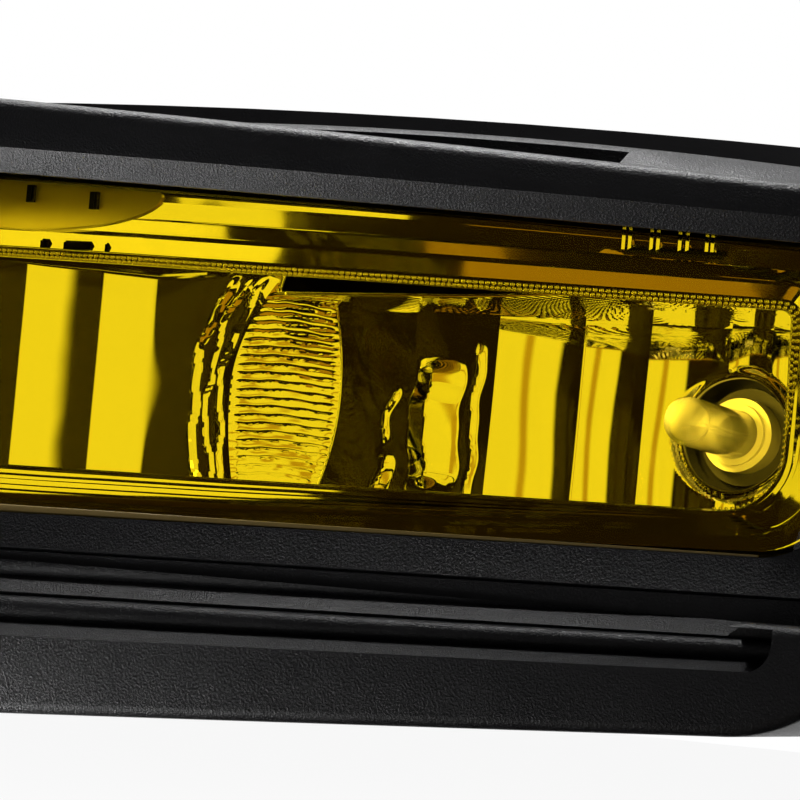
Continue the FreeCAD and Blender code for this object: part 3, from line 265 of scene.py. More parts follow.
# %% Node group helpers
def new_group(name, inputs, outputs):
    tree = bpy.data.node_groups.new(name, "ShaderNodeTree")
    for label, value in inputs:
        socket = tree.interface.new_socket(label, in_out="INPUT", socket_type="NodeSocketFloat")
        socket.default_value = value
    for label in outputs:
        tree.interface.new_socket(label, in_out="OUTPUT", socket_type="NodeSocketFloat")
    return tree, tree.nodes.new("NodeGroupInput"), tree.nodes.new("NodeGroupOutput")


def add_math(tree, operation, a, b, clamp=False):
    node = tree.nodes.new("ShaderNodeMath")
    node.operation = operation
    node.use_clamp = clamp
    for socket, value in zip(node.inputs, (a, b)):
        if isinstance(value, (int, float)):
            socket.default_value = value
        else:
            tree.links.new(value, socket)
    return node.outputs[0]


def add_noise(tree, scale, detail, roughness=0.5):
    """A noise on Object coordinates; scale may be a socket."""
    place = tree.nodes.new("ShaderNodeTexCoord")
    noise = tree.nodes.new("ShaderNodeTexNoise")
    tree.links.new(place.outputs["Object"], noise.inputs["Vector"])
    noise.inputs["Detail"].default_value = detail
    noise.inputs["Roughness"].default_value = roughness
    if isinstance(scale, (int, float)):
        noise.inputs["Scale"].default_value = scale
    else:
        tree.links.new(scale, noise.inputs["Scale"])
    return noise.outputs["Fac"]


# %% The grain, dust and waviness groups
def make_grain_group():
    """Fine moulded grain: a height for a Bump node and a change of roughness that goes with it."""
    tree, inp, out = new_group("moulded grain", [("Scale", 2400.0), ("Patch Scale", 60.0)],
                               ["Height", "Patches"])
    fine = add_noise(tree, inp.outputs["Scale"], detail=3.0, roughness=0.6)
    sharp = add_math(tree, "MULTIPLY", add_math(tree, "SUBTRACT", fine, 0.38), 2.4, clamp=True)
    tree.links.new(sharp, out.inputs["Height"])
    patches = add_noise(tree, inp.outputs["Patch Scale"], detail=4.0)
    tree.links.new(patches, out.inputs["Patches"])
    return tree


def make_dust_group():
    """How dusty a spot is: more on ground that faces up, broken up by a soft noise."""
    tree, inp, out = new_group("settled dust", [("Amount", 0.5), ("Scale", 140.0)], ["Mask"])
    geometry = tree.nodes.new("ShaderNodeNewGeometry")
    split = tree.nodes.new("ShaderNodeSeparateXYZ")
    tree.links.new(geometry.outputs["Normal"], split.inputs["Vector"])
    up = add_math(tree, "MULTIPLY", add_math(tree, "ADD", split.outputs["Z"], 0.25), 0.8, clamp=True)
    cloudy = add_noise(tree, inp.outputs["Scale"], detail=6.0, roughness=0.65)
    broken = add_math(tree, "SUBTRACT", cloudy, 0.35)
    lying = add_math(tree, "MULTIPLY", up, broken)
    mask = add_math(tree, "MULTIPLY", lying, inp.outputs["Amount"], clamp=True)
    tree.links.new(mask, out.inputs["Mask"])
    return tree


def make_wave_group():
    """Slow waves of a coated surface: a height for a Bump node, and a faint tarnish."""
    tree, inp, out = new_group("coating waves", [("Scale", 90.0)], ["Height", "Tarnish"])
    wave = add_noise(tree, inp.outputs["Scale"], detail=1.0)
    tree.links.new(wave, out.inputs["Height"])
    tarnish = add_noise(tree, 35.0, detail=5.0, roughness=0.6)
    tree.links.new(tarnish, out.inputs["Tarnish"])
    return tree


GRAIN = make_grain_group()
DUST = make_dust_group()
WAVES = make_wave_group()
print("shader groups:", GRAIN.name, DUST.name, WAVES.name)


# %% Material helpers
def start_material(name):
    material = bpy.data.materials.new(name)
    material.use_nodes = True
    tree = material.node_tree
    return material, tree, tree.nodes["Principled BSDF"]


def place_group(tree, group, **values):
    node = tree.nodes.new("ShaderNodeGroup")
    node.node_tree = group
    for label, value in values.items():
        node.inputs[label.replace("_", " ")].default_value = value
    return node


def blend_colours(tree, mask, first, second):
    mix = tree.nodes.new("ShaderNodeMix")
    mix.data_type = "RGBA"
    tree.links.new(mask, mix.inputs["Factor"])
    for label, colour in (("A", first), ("B", second)):
        if isinstance(colour, tuple):
            mix.inputs[label].default_value = (*colour, 1)
        else:
            tree.links.new(colour, mix.inputs[label])
    return mix.outputs["Result"]


def between_values(tree, value, low, high):
    ramp = tree.nodes.new("ShaderNodeMapRange")
    tree.links.new(value, ramp.inputs["Value"])
    ramp.inputs["To Min"].default_value = low
    ramp.inputs["To Max"].default_value = high
    return ramp.outputs["Result"]


def add_bump(tree, shader, height, strength, distance):
    bump = tree.nodes.new("ShaderNodeBump")
    bump.inputs["Strength"].default_value = strength
    bump.inputs["Distance"].default_value = distance
    tree.links.new(height, bump.inputs["Height"])
    tree.links.new(bump.outputs["Normal"], shader.inputs["Normal"])


# %% [markdown]
# ## Finishes
# Each finish has its own short function or its own row of values: grained black plastic for the bezel,
# smoother black for the frame behind it, clear yellow plastic, mirror coating, zinc plate, rubber and brass.
# The bezel's black is written darker than real plastic, because the studio's lamps are strong.


# %% Plastics and rubber
GRAIN_PATCHES, DUST_SCALE = 55.0, 160.0
GRAIN_HEIGHT, COATING_HEIGHT, CLEAR_HEIGHT = 0.00012, 0.0004, 0.0002


def plastic(name, colour, dust_colour, rough, grain_scale, grain_strength, dust, specular=0.5):
    material, tree, shader = start_material(name)
    grain = place_group(tree, GRAIN, Scale=grain_scale, Patch_Scale=GRAIN_PATCHES)
    settled = place_group(tree, DUST, Amount=dust, Scale=DUST_SCALE)
    dusty = blend_colours(tree, settled.outputs["Mask"], colour, dust_colour)
    tree.links.new(dusty, shader.inputs["Base Color"])
    tree.links.new(between_values(tree, grain.outputs["Patches"], *rough), shader.inputs["Roughness"])
    shader.inputs["Specular IOR Level"].default_value = specular
    add_bump(tree, shader, grain.outputs["Height"], grain_strength, GRAIN_HEIGHT)
    return material


# colour, colour of the dust, roughness from and to, then the grain's scale and strength, the dust, and for
# some the specular level
BEZEL_BLACK = plastic("bezel black", (0.0016, 0.0016, 0.0018), (0.020, 0.020, 0.018), (0.29, 0.41),
                      1700, 1.0, 0.03, 0.07)
CARRIER_BLACK = plastic("carrier black", (0.008, 0.008, 0.009), (0.08, 0.08, 0.075), (0.22, 0.34),
                        1500, 0.12, 0.15)
HOUSING_BLACK = plastic("housing black", (0.020, 0.020, 0.022), (0.11, 0.10, 0.09), (0.38, 0.55),
                        1800, 0.35, 0.35)
COLLAR_BLACK = plastic("collar black", (0.028, 0.028, 0.030), (0.11, 0.10, 0.09), (0.40, 0.52),
                       2400, 0.25, 0.30)
HOLDER_GREY = plastic("holder grey", (0.060, 0.060, 0.063), (0.14, 0.13, 0.12), (0.42, 0.56),
                      2400, 0.25, 0.30)
NYLON = plastic("natural nylon", (0.70, 0.68, 0.60), (0.45, 0.42, 0.36), (0.35, 0.48), 1200, 0.15, 0.30)
RUBBER = plastic("seal rubber", (0.018, 0.018, 0.018), (0.12, 0.11, 0.10), (0.62, 0.80),
                 1600, 0.50, 0.45, 0.3)
CAP_RUBBER = plastic("cap rubber", (0.022, 0.022, 0.023), (0.13, 0.12, 0.11), (0.60, 0.78),
                     1300, 0.45, 0.55, 0.3)


# %% Metals
def metal(name, colour, stain, rough, wave_scale, wave_strength, metallic=1.0):
    material, tree, shader = start_material(name)
    waves = place_group(tree, WAVES, Scale=wave_scale)
    tint = between_values(tree, waves.outputs["Tarnish"], -0.35, 0.65)
    tree.links.new(blend_colours(tree, tint, colour, stain), shader.inputs["Base Color"])
    tree.links.new(between_values(tree, waves.outputs["Tarnish"], *rough), shader.inputs["Roughness"])
    shader.inputs["Metallic"].default_value = metallic
    add_bump(tree, shader, waves.outputs["Height"], wave_strength, COATING_HEIGHT)
    return material


MIRROR = metal("mirror coating", (0.97, 0.97, 0.96), (0.92, 0.92, 0.91), (0.02, 0.05), 70, 0.10)
TRIM_MIRROR = metal("trim coating", (0.90, 0.90, 0.89), (0.80, 0.80, 0.79), (0.03, 0.07), 60, 0.18)
# the pad's warm tint is a painted reflection of warm surroundings; the real pad is the same bright coating
PAD_WARM_REFLECTION = metal("pad coating with painted warm reflection", (0.86, 0.78, 0.64), (0.70, 0.62, 0.50), (0.26, 0.42), 60, 0.18)
ZINC = metal("zinc plate", (0.66, 0.66, 0.67), (0.50, 0.49, 0.46), (0.22, 0.42), 900, 0.25)
BASE_METAL = metal("bulb base metal", (0.92, 0.90, 0.86), (0.80, 0.77, 0.72), (0.40, 0.55), 500, 0.20, 0.25)
WIRE = metal("wire", (0.50, 0.50, 0.52), (0.30, 0.29, 0.28), (0.25, 0.40), 700, 0.2)
BRASS = metal("terminal brass", (0.80, 0.62, 0.32), (0.55, 0.42, 0.22), (0.20, 0.36), 600, 0.2)


# %% Clear yellow lens and bulb glass
def clear(name, colour, ior, rough, wave_strength, clearness=1.0):
    material, tree, shader = start_material(name)
    waves = place_group(tree, WAVES, Scale=40.0)
    tree.links.new(between_values(tree, waves.outputs["Tarnish"], *rough), shader.inputs["Roughness"])
    shader.inputs["Base Color"].default_value = (*colour, 1)
    shader.inputs["Transmission Weight"].default_value = clearness
    shader.inputs["IOR"].default_value = ior
    add_bump(tree, shader, waves.outputs["Height"], wave_strength, CLEAR_HEIGHT)
    return material


YELLOW_LENS = clear("clear yellow", (0.97, 0.82, 0.09), 1.30, (0.0, 0.01), 0.008)
BULB_GLASS = clear("bulb glass", (0.99, 0.99, 0.985), 1.25, (0.02, 0.12), 0.02, 0.80)
print("materials:", len(bpy.data.materials))

# %% [markdown]
# ## Pieces straight from the CAD
# Most parts already have their real shape. They are copied, smoothed and given a finish.

# %% Dress the CAD nodes
DRESSED = {
    "bezel": (BEZEL_BLACK, 32),
    "carrier": (CARRIER_BLACK, 30),
    "bezel_screws": (ZINC, 30),
    "mount_sleeves": (ZINC, 30),
    "pivot_bush_left": (NYLON, 30),
    "pivot_bush_right": (NYLON, 30),
    "pivot_pin_left": (ZINC, 30),
    "pivot_pin_right": (ZINC, 30),
    "housing": (HOUSING_BLACK, 30),
    "lens": (YELLOW_LENS, 40),
    "lens_seal": (RUBBER, 30),
    "vent_cap": (CAP_RUBBER, 30),
    "reflector_screws": (ZINC, 30),
    "bulb_collar": (COLLAR_BLACK, 30),
    "bulb_holder": (HOLDER_GREY, 30),
    "bulb_seal": (RUBBER, 30),
    "bulb_base": (BASE_METAL, 30),
    "bulb_glass": (BULB_GLASS, 40),
    "bulb_leads": (WIRE, 40),
    "bulb_terminals": (BRASS, 30),
    "aim_screw": (ZINC, 30),
    "aim_clip": (ZINC, 30),
    "aim_nut": (NYLON, 40),
    "aim_socket": (NYLON, 40),
}
for node, (material, angle) in DRESSED.items():
    dress(node, material, angle)

# %% [markdown]
# ## The reflector
# A real multi-surface reflector is a bowl whose back is cut into upright columns. Each column is a shallow
# trough that throws the light sideways. On the left, curved ridges lead to a leaf-shaped panel of fine level
# flutes, then come a few odd facets, and then the columns behind the bulb. The bowl is one sheet drawn as a
# grid. A column is given by where it starts, where its trough turns from facing the bulb to facing straight
# ahead, and how steep it starts, because those are what make its bright and its dark half.

# %% Outlines with rounded corners
def side_lines(left, right, top, bottom):
    """Four outward normals and their distances: top and bottom are (height at x = 0, slope)."""
    lines = []
    sides = ((-top[1], 1.0, top[0]), (1.0, 0.0, right), (bottom[1], -1.0, -bottom[0]), (-1.0, 0.0, -left))
    for nx, nz, c in sides:
        size = math.hypot(nx, nz)
        lines.append((nx / size, nz / size, c / size))
    return lines


def crossing(a, b, inset):
    """Where two lines meet after both move inwards."""
    det = a[0] * b[1] - a[1] * b[0]
    ca, cb = a[2] - inset, b[2] - inset
    return ((ca * b[1] - cb * a[1]) / det, (a[0] * cb - b[0] * ca) / det)


LEVEL_STEPS, UPRIGHT_STEPS, CORNER_STEPS = 120, 34, 14


def rounded_ring(shape, grow):
    """A closed loop of (x, z) with a fixed number of points, clockwise from the top left."""
    lines, radii = side_lines(*shape[:4]), shape[4]
    arcs = []
    for k in range(4):
        a, b = lines[k], lines[(k + 1) % 4]
        cx, cz = crossing(a, b, radii[k])
        start, turn = math.atan2(a[1], a[0]), -math.acos(a[0] * b[0] + a[1] * b[1])
        r = radii[k] + grow
        angles = [start + turn * t / CORNER_STEPS for t in range(CORNER_STEPS + 1)]
        arcs.append([(cx + r * math.cos(angle), cz + r * math.sin(angle)) for angle in angles])
    loop = []
    for k in range(4):
        x0, z0 = arcs[k - 1][-1]
        x1, z1 = arcs[k][0]
        steps = (LEVEL_STEPS, UPRIGHT_STEPS)[k % 2]
        loop += [(x0 + (x1 - x0) * t / steps, z0 + (z1 - z0) * t / steps) for t in range(1, steps)]
        loop += arcs[k]
    return loop


LEFT, RIGHT = -129.0, 113.5
TOP_CORNER, LOW_CORNER = 4.0, 15.0    # radii at the right end
# left, right, top line, bottom line, corner radii from the top right clockwise
LIP_SHAPE = (LEFT, RIGHT, (28.5, -0.029), (-25.2, 0.004), (TOP_CORNER, LOW_CORNER, 6.0, 6.0))
WINDOW_SHAPE = (-140.0, 133.0, (45.3, -0.0568), (-37.4, 0.0140), (12.0, 20.0, 14.0, 16.0))
print("loop length", len(rounded_ring(LIP_SHAPE, 0.0)), "points")

# %% Reflector sizes, in millimetres
RIM_Y = -25.5
HOLE_X, HOLE_Y, HOLE_Z, HOLE_RADIUS = 85.5, 19.2, -3.0, 15.0
LEAF_LEFT, LEAF_RIGHT = -49.2, -21.0
SPLIT = LEAF_RIGHT    # the bowl is made as two pieces that meet here
FLUTE_PITCH, FLUTE_DEPTH, LEAF_HOLLOW = 2.2, 0.30, 1.2
FACETS_LEFT, FACETS_RIGHT = -17.7, 13.2
COLUMNS_LEFT, COLUMNS_FADE = 12.0, 12.0
COARSE_RIGHT, COARSE_STEP = -66, 1.0    # left of here the grid is coarser
HALF_HEIGHT = 27.0
START_Y = -22.5
# a trough: where it starts and turns dark, its slope at the start and at the turn
TROUGHS = [
    (-129.0, -118.0, 0.34, 0.24),
    (-108.4, -95.2, 0.34, 0.255),
    (-86.9, -71.5, 0.34, 0.245),
    (-62.0, -60.6, 0.22, 0.18),
    (-49.2, -23.0, 0.36, 0.33),
    (-21.0, -16.0, 0.06, 0.04),
    (-0.4, 6.0, 0.05, 0.04),
    (22.6, 38.9, 0.50, 0.17),
    (44.5, 53.1, 0.42, 0.17),
    (61.4, 70.4, 0.42, 0.16),
    (82.3, 86.9, 0.40, 0.155),
    (93.0, 97.3, 0.40, 0.15),
    (101.5, 113.5, -0.30, -0.90),
]
# how far a grid line leans over, at the ceiling and at the floor, at some places across
BENDS_UP = [(-129, 0), (-72, 0), (-62, 8.4), (-49.2, 10.4), (-35, 3.0), (-21, -4.3), (0, 0), (113.5, 0)]
BENDS_DOWN = [(-129, 0), (-72, 0), (-62, 4.1), (-49.2, 3.8), (-35, -1.0), (-21, -5.9), (0, 0), (113.5, 0)]
# sharp upright ridges: place of the crest, width of the bright side, height, wave, reach in z
RIDGES = [
    (-60.5, 1.6, 1.1, 0.6, (-28, 30)),
    (-56.4, 1.2, 0.8, 0.8, (-28, 30)),
    (-52.6, 1.4, 0.9, 0.7, (-28, 30)),
    (-6.0, 1.4, 0.7, 1.3, (-13, 5)),
    (-7.0, 3.0, 1.3, 0.8, (-27, -11)),
    (5.6, 8.5, 3.2, 0.7, (-23, 12)),
    (17.5, 2.0, 0.8, 0.6, (-27, 17)),
]


def reflector_top(x):
    return 28.8 - 0.0165 * x


def reflector_bottom(x):
    return -25.7 + 0.0118 * x


def along(table, x):
    """Straight-line reading of a table of (x, value)."""
    for (x0, v0), (x1, v1) in zip(table, table[1:]):
        if x <= x1:
            return v0 + (v1 - v0) * (x - x0) / (x1 - x0)
    return table[-1][1]


def ease(value, low, high):
    """Rises smoothly from 0 at low to 1 at high."""
    t = min(1.0, max(0.0, (value - low) / (high - low)))
    return t * t * (3 - 2 * t)


# the ceiling comes down towards the back, and a gap opens over its front edge towards the left
CEILING_DROP = [(-129, -0.5), (-66, -2.0), (-52, -1.2), (-30, 4.0), (-12, 6.2), (24, 5.6), (60, 4.6),
                (100, 3.4), (113.5, 3.0)]
GAP_HEIGHT = [(-129, 0), (-28.6, 0), (-26.8, 6.2), (8, 4.8), (22, 4.2), (36, 3.5), (52, 2.2), (62, 0),
              (113.5, 0)]
GAP_LEAN = [(-129, 0), (-34, 0), (-28.6, 3.3), (-26.8, 0), (113.5, 0)]


def right_edge(z):
    """The opening's right side, with its large lower corner and tight upper one."""
    low, top = reflector_bottom(RIGHT), reflector_top(RIGHT)
    inset = 0.0
    if z < low + LOW_CORNER:
        inset = LOW_CORNER - math.sqrt(max(0.0, LOW_CORNER**2 - (low + LOW_CORNER - z) ** 2))
    if z > top - TOP_CORNER:
        inset = TOP_CORNER - math.sqrt(max(0.0, TOP_CORNER**2 - (z - top + TOP_CORNER) ** 2))
    return RIGHT - inset


# %% The back wall of the reflector
def trough_depth(u):
    """Adds up the troughs' slopes from the left end."""
    y = START_Y
    ends = [t[0] for t in TROUGHS[1:]] + [RIGHT]
    for (start, turn, steep, flat), end in zip(TROUGHS, ends):
        reach = min(u, end) - start
        if reach <= 0:
            break
        change = (flat - steep) / (turn - start)
        y += steep * reach + change * reach * reach / 2
    return y


def ridge_lift(u, z):
    """Ridges with a gentle side to the left and a bright, steep side to the right."""
    lift = 0.0
    for place, width, height, wave, (low, high) in RIDGES:
        crest = place + wave * math.sin(z / 4.1 + place) + 0.4 * wave * math.sin(z / 1.7 + 2 * place)
        fade = ease(z, low, low + 5) * (1 - ease(z, high - 5, high))
        left = max(0.0, 1 - (crest - u) / (0.7 * width)) if u <= crest else 0.0
        right = max(0.0, 1 - (u - crest) / width) if u > crest else 0.0
        lift += height * fade * max(left, right)
    return lift


def depth_at(u, z):
    """How far back the wall is, in the grid's own place across."""
    y = trough_depth(u) - ridge_lift(u, z)
    if LEAF_LEFT < u < LEAF_RIGHT:
        t = (u - LEAF_LEFT) / (LEAF_RIGHT - LEAF_LEFT)
        v = (z + 0.35 * math.sin(u / 4.7) + 0.12 * math.sin(u / 1.3 + z)) / FLUTE_PITCH
        y -= FLUTE_DEPTH * abs(math.sin(math.pi * v)) * min(1.0, 12 * t, 12 * (1 - t))
        y += LEAF_HOLLOW * t * (1 - t)
    if u > COLUMNS_LEFT:
        lean = min(1.0, (u - COLUMNS_LEFT) / COLUMNS_FADE)
        y += lean * (0.2 * math.sin(z / 9.0 + u / 14.0) + 0.05 * z)
    if FACETS_LEFT < u < FACETS_RIGHT:
        swell = math.sin(math.pi * (u - FACETS_LEFT) / (FACETS_RIGHT - FACETS_LEFT))
        y += 0.45 * swell * math.sin(z / 5.5 + u / 6.0)
    near = math.hypot(u - HOLE_X, z - HOLE_Z)
    return y + (HOLE_Y - y) * (1 - ease(near, 15.2, 17.0))


def grid_across(left, right, step):
    """Places across the wall: every trough's start and enough steps between."""
    starts = sorted({left, right} | {t[0] for t in TROUGHS if left < t[0] < right})
    places = []
    for x0, x1 in zip(starts, starts[1:]):
        steps = max(4, round((x1 - x0) / (step if x0 > COARSE_RIGHT else COARSE_STEP)))
        places += [x0 + (x1 - x0) * k / steps for k in range(steps)]
    return places + [right]


def wall_point(u, share):
    """share runs from 0 at the reflector's floor to 1 at its ceiling."""
    top = reflector_top(u) - along(CEILING_DROP, u)
    z = reflector_bottom(u) + (top - reflector_bottom(u)) * share
    x = u + along(BENDS_UP if z > 0 else BENDS_DOWN, u) * (z / HALF_HEIGHT) ** 2
    if u > HOLE_X:
        x = HOLE_X + (u - HOLE_X) * (right_edge(z) - HOLE_X) / (RIGHT - HOLE_X)
    return (x, depth_at(u, z), z)


def to_hole_edge(point):
    """Points that fall inside the bulb's hole are moved out to its edge."""
    dx, dz = point[0] - HOLE_X, point[2] - HOLE_Z
    reach = math.hypot(dx, dz)
    if reach >= HOLE_RADIUS or reach == 0:
        return point
    k = HOLE_RADIUS / reach
    return (HOLE_X + dx * k, HOLE_Y, HOLE_Z + dz * k)


def make_wall(across, rows):
    """The wall row by row from the floor up, without the faces in the bulb's hole."""
    wall = [[wall_point(u, j / rows) for u in across] for j in range(rows + 1)]
    points, faces = [to_hole_edge(p) for row in wall for p in row], []
    width = len(across)
    for j in range(rows):
        for i in range(width - 1):
            corners = (wall[j][i], wall[j][i + 1], wall[j + 1][i + 1], wall[j + 1][i])
            if all(math.hypot(c[0] - HOLE_X, c[2] - HOLE_Z) < HOLE_RADIUS for c in corners):
                continue
            a = j * width + i
            faces.append((a, a + 1, a + width + 1, a + width))
    return points, faces, wall


# %% The reflector's ceiling, floor, ends and hole lip
def add_strip(points, faces, rows):
    """Joins rows of points, each as long as the next, into a sheet."""
    start, width = len(points), len(rows[0])
    for row in rows:
        points += row
    for j in range(len(rows) - 1):
        for i in range(width - 1):
            a = start + j * width + i
            faces.append((a, a + 1, a + width + 1, a + width))


FAN_Y, FAN_FLUTES, FAN_LEFT = 26.0, 90.0, -12


def fan_flute(x, y):
    """Fine flutes of the ceiling, that fan out from above the bulb."""
    reach = math.hypot(x - HOLE_X, FAN_Y - y)
    return min(0.32, 0.008 * reach) * abs(math.sin(FAN_FLUTES * math.atan2(x - HOLE_X, FAN_Y - y)))


def ceiling_rows(wall, steps):
    """From the top of the wall forward to the rim, or to the edge of the dark gap under the rim."""
    rows = []
    for k in range(steps + 1):
        t = k / steps
        row = []
        for x, y, z in wall[-1]:
            yy = y + (RIM_Y - y) * t
            front = reflector_top(x) - along(GAP_HEIGHT, x)
            flute = fan_flute(x, yy) * min(1.0, 6 * t, 8 * (1 - t)) if x > FAN_LEFT else 0.0
            row.append((x + along(GAP_LEAN, x) * t, yy, z + (front - z) * t ** 0.8 - flute))
        rows.append(row)
    return rows


def make_bowl(left, right, step, rows, ceiling_steps, end):
    """One piece of the reflector: wall, ceiling, floor and the closed end on one side."""
    across = grid_across(left, right, step)
    points, faces, wall = make_wall(across, rows)
    add_strip(points, faces, ceiling_rows(wall, ceiling_steps))
    floor = [[(x, y + (RIM_Y - y) * k / 6, z) for x, y, z in wall[0]] for k in range(7)]
    add_strip(points, faces, floor[::-1])
    column = [row[end] for row in wall]
    rows = [[(x, y + (RIM_Y - y) * k / 5, z) for x, y, z in column] for k in range(6)]
    add_strip(points, faces, rows if end == 0 else rows[::-1])
    return points, faces


def thicken(obj, thickness):
    """Gives a sheet a wall behind it, so that it is closed."""
    wall_modifier = obj.modifiers.new("wall", "SOLIDIFY")
    wall_modifier.thickness = thickness
    wall_modifier.offset = -1.0


def hole_lip():
    """Loops of the rolled edge round the bulb's hole."""
    turn = [2 * math.pi * k / 96 for k in range(97)]
    section = ((HOLE_RADIUS, HOLE_Y), (14.7, 18.6), (14.2, 18.6), (13.9, HOLE_Y), (13.9, 27.0))
    return [[(HOLE_X + r * math.cos(a), y, HOLE_Z + r * math.sin(a)) for a in turn] for r, y in section]


left_sheet = make_bowl(LEFT, SPLIT, 0.55, 150, 20, 0)
right_sheet = make_bowl(SPLIT, RIGHT, 0.48, 84, 60, -1)
add_strip(*right_sheet, hole_lip())
for name, sheet in (("reflector_left", left_sheet), ("reflector_right", right_sheet)):
    bowl = new_piece(name, mesh_from(name, *sheet), "lamp", MIRROR, 24)
    thicken(bowl, 0.0008)
    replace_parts(bowl, "reflector")

# %% [markdown]
# ## The rope-like rim
# A thin lip runs round the mouth of the bowl and hides its cut edge. Along the top and the right side the
# lip carries two rows of tiny beads, like a rope, which break the reflections into sparkles. The beads are
# instances along a line, so their pitch and size are one number each.


# %% The lip and its beads
LIP_FRONT_Y, LIP_BACK_Y, LIP_OUTSIDE = -25.9, -25.2, 1.3
# distance out from the lip's line in millimetres, then pitch and bead radius in metres
BEAD_ROWS = ((0.5, 0.0017, 0.00052), (-0.6, 0.0015, 0.00048))


def ring_points(distance, y):
    return [(x, y, z) for x, z in rounded_ring(LIP_SHAPE, distance)]


def lip_loop(inner, y):
    """A loop a little inside the mouth: further in along the top, where it hangs over the gap."""
    outside, inside = rounded_ring(LIP_SHAPE, 0.0), rounded_ring(LIP_SHAPE, -1.0)
    loop = []
    for (x0, z0), (x1, z1) in zip(outside, inside):
        reach = inner * (0.25 + 0.75 * ease(z0, -15, 20))
        loop.append((x0 + (x1 - x0) * reach, y, z0 + (z1 - z0) * reach))
    return loop


def make_lip():
    points, faces = [], []
    loops = [ring_points(LIP_OUTSIDE, LIP_FRONT_Y), lip_loop(1.2, LIP_FRONT_Y), lip_loop(1.3, -25.6),
             lip_loop(1.2, LIP_BACK_Y), ring_points(LIP_OUTSIDE, LIP_BACK_Y)]
    loops.append(loops[0])
    add_strip(points, faces, [loop + loop[:1] for loop in loops])
    return mesh_from("rim_lip", points, faces)


def upper_part(points):
    """The part of a loop along the top and down the right side."""
    return [p for p in points if (p[2] > 20.0 and p[0] > -122.0) or p[0] > 96.0]


rim = new_piece("rim_lip", make_lip(), "lamp", MIRROR, 30)
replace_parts(rim, "reflector")
for k, (distance, pitch, radius) in enumerate(BEAD_ROWS):
    line = line_mesh("bead line", upper_part(ring_points(distance, -26.2)))
    beads = grow_mesh(BEADS, line, Pitch=pitch, Radius=radius, Material=MIRROR)
    row = new_piece("rim_beads_%d" % k, beads, "lamp", MIRROR, 60)
    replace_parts(row, "reflector")
edge_line = line_mesh("edge line", lip_loop(1.15, -26.0), closed=True)
edge = new_piece("rim_edge", grow_mesh(WIRE_LINE, edge_line, Radius=0.0002, Material=MIRROR), "lamp",
                 MIRROR, 60)
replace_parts(edge, "reflector")

# %% [markdown]
# ## The trim frame round the reflector
# Between the reflector and the bezel sits a second mirror-bright frame. It steps forward from the
# reflector's rim to the lens in sloping bands, like the mount round a picture. The same loop of points is
# drawn at several distances from the rim, and the loops are joined.

# %% Trim bands
AT_WINDOW = 99    # stands for the window's edge, however far out that is
# distance out from the lip, depth, and share of the crown, for the top and for the bottom
TOP_BANDS = [
    (0.6, -25.4, 0.0), (1.6, -25.4, 0.0), (1.8, -27.0, 0.1), (5.8, -29.0, 0.1), (5.9, -30.2, 0.3),
    (6.9, -30.2, 0.3), (7.0, -30.9, 0.45), (10.2, -32.8, 0.45), (10.3, -33.4, 0.6), (10.6, -33.1, 0.6),
    (10.7, -33.3, 0.7), (15.0, -34.4, 0.7), (15.1, -35.2, 0.85), (AT_WINDOW, -35.9, 1.0),
]
LOW_BANDS = [
    (0.0, -27.2, 0.0), (2.0, -26.7, 0.0), (2.1, -27.9, 0.15), (2.5, -28.5, 0.15), (3.4, -28.25, 0.15),
    (3.5, -29.2, 0.3), (5.0, -28.8, 0.3), (5.1, -30.1, 0.45), (6.6, -29.7, 0.45), (6.7, -31.6, 0.6),
    (9.6, -30.8, 0.6), (9.7, -33.0, 0.8), (10.4, -35.6, 0.9), (AT_WINDOW, -36.2, 1.0),
]


def crown(x):
    """How far back the curved front lies at a place across."""
    return x * x / 3200.0


def trim_loops(splits=2):
    """Each band keeps one share of the crown, so that its slope is the same from end to end."""
    inner, outer = rounded_ring(LIP_SHAPE, 0.0), rounded_ring(WINDOW_SHAPE, -0.25)
    loops = []
    for k, (top, low) in enumerate(zip(TOP_BANDS, LOW_BANDS)):
        loop = []
        for (xi, zi), (xo, zo) in zip(inner, outer):
            weight = ease((zi - 1.5) / 27.0, -0.8, 0.8)
            d, y, bow = [b + (a - b) * weight for a, b in zip(top, low)]
            share = 1.0 if top[0] == AT_WINDOW else min(d / math.hypot(xo - xi, zo - zi), 0.85 + 0.01 * k)
            x, z = xi + (xo - xi) * share, zi + (zo - zi) * share
            loop.append((x, y + crown(x) * bow, z))
        loops.append(loop)
    full = [loops[0]]
    for first, second in zip(loops, loops[1:]):
        for j in range(1, splits + 1):
            t = j / splits
            full.append([tuple(a + (b - a) * t for a, b in zip(p, q)) for p, q in zip(first, second)])
    return full


def make_trim():
    points, faces = [], []
    loops = [loop + loop[:1] for loop in trim_loops()]
    add_strip(points, faces, loops)
    return mesh_from("trim_look", points, faces)


trim = new_piece("trim_look", make_trim(), "lamp", TRIM_MIRROR, 20)
thicken(trim, 0.0006)
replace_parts(trim, "trim_frame")

# %% [markdown]
# ## Small features of the trim frame
# At the upper left the frame has a long oval pad with two clips on it, and a few snap slots under it. At
# the upper right there is a comb of thin ribs. The pad is a shallow dome, tinted warm as a painted
# reflection of warm surroundings. The others are blocks placed at points by one Geometry Nodes tree; the
# slots are black blocks, painted shade for their dark recesses. The ribs are turned 25 degrees, so that a
# side mirrors something bright.


# %% The oval pad
def make_pad(x, z, half_width, half_height, bulge):
    """A shallow dome with an upright wall round it, cut off under the edge of the bezel's window."""
    turn = [2 * math.pi * k / 72 for k in range(73)]
    rings = [(r / 8, -36.3 - bulge * (1 - (r / 8) ** 2)) for r in range(9)] + [(1.0, -29.0), (0.0, -29.0)]
    rows = []
    for share, y in rings:
        row = []
        for a in turn:
            px = x + half_width * share * math.cos(a)
            top = WINDOW_SHAPE[2][0] - 1.0 + WINDOW_SHAPE[2][1] * px
            row.append((px, y + crown(px), min(top, z + half_height * share * math.sin(a))))
        rows.append(row)
    points, faces = [], []
    add_strip(points, faces, rows[::-1])
    return mesh_from("trim_pad", points, faces)


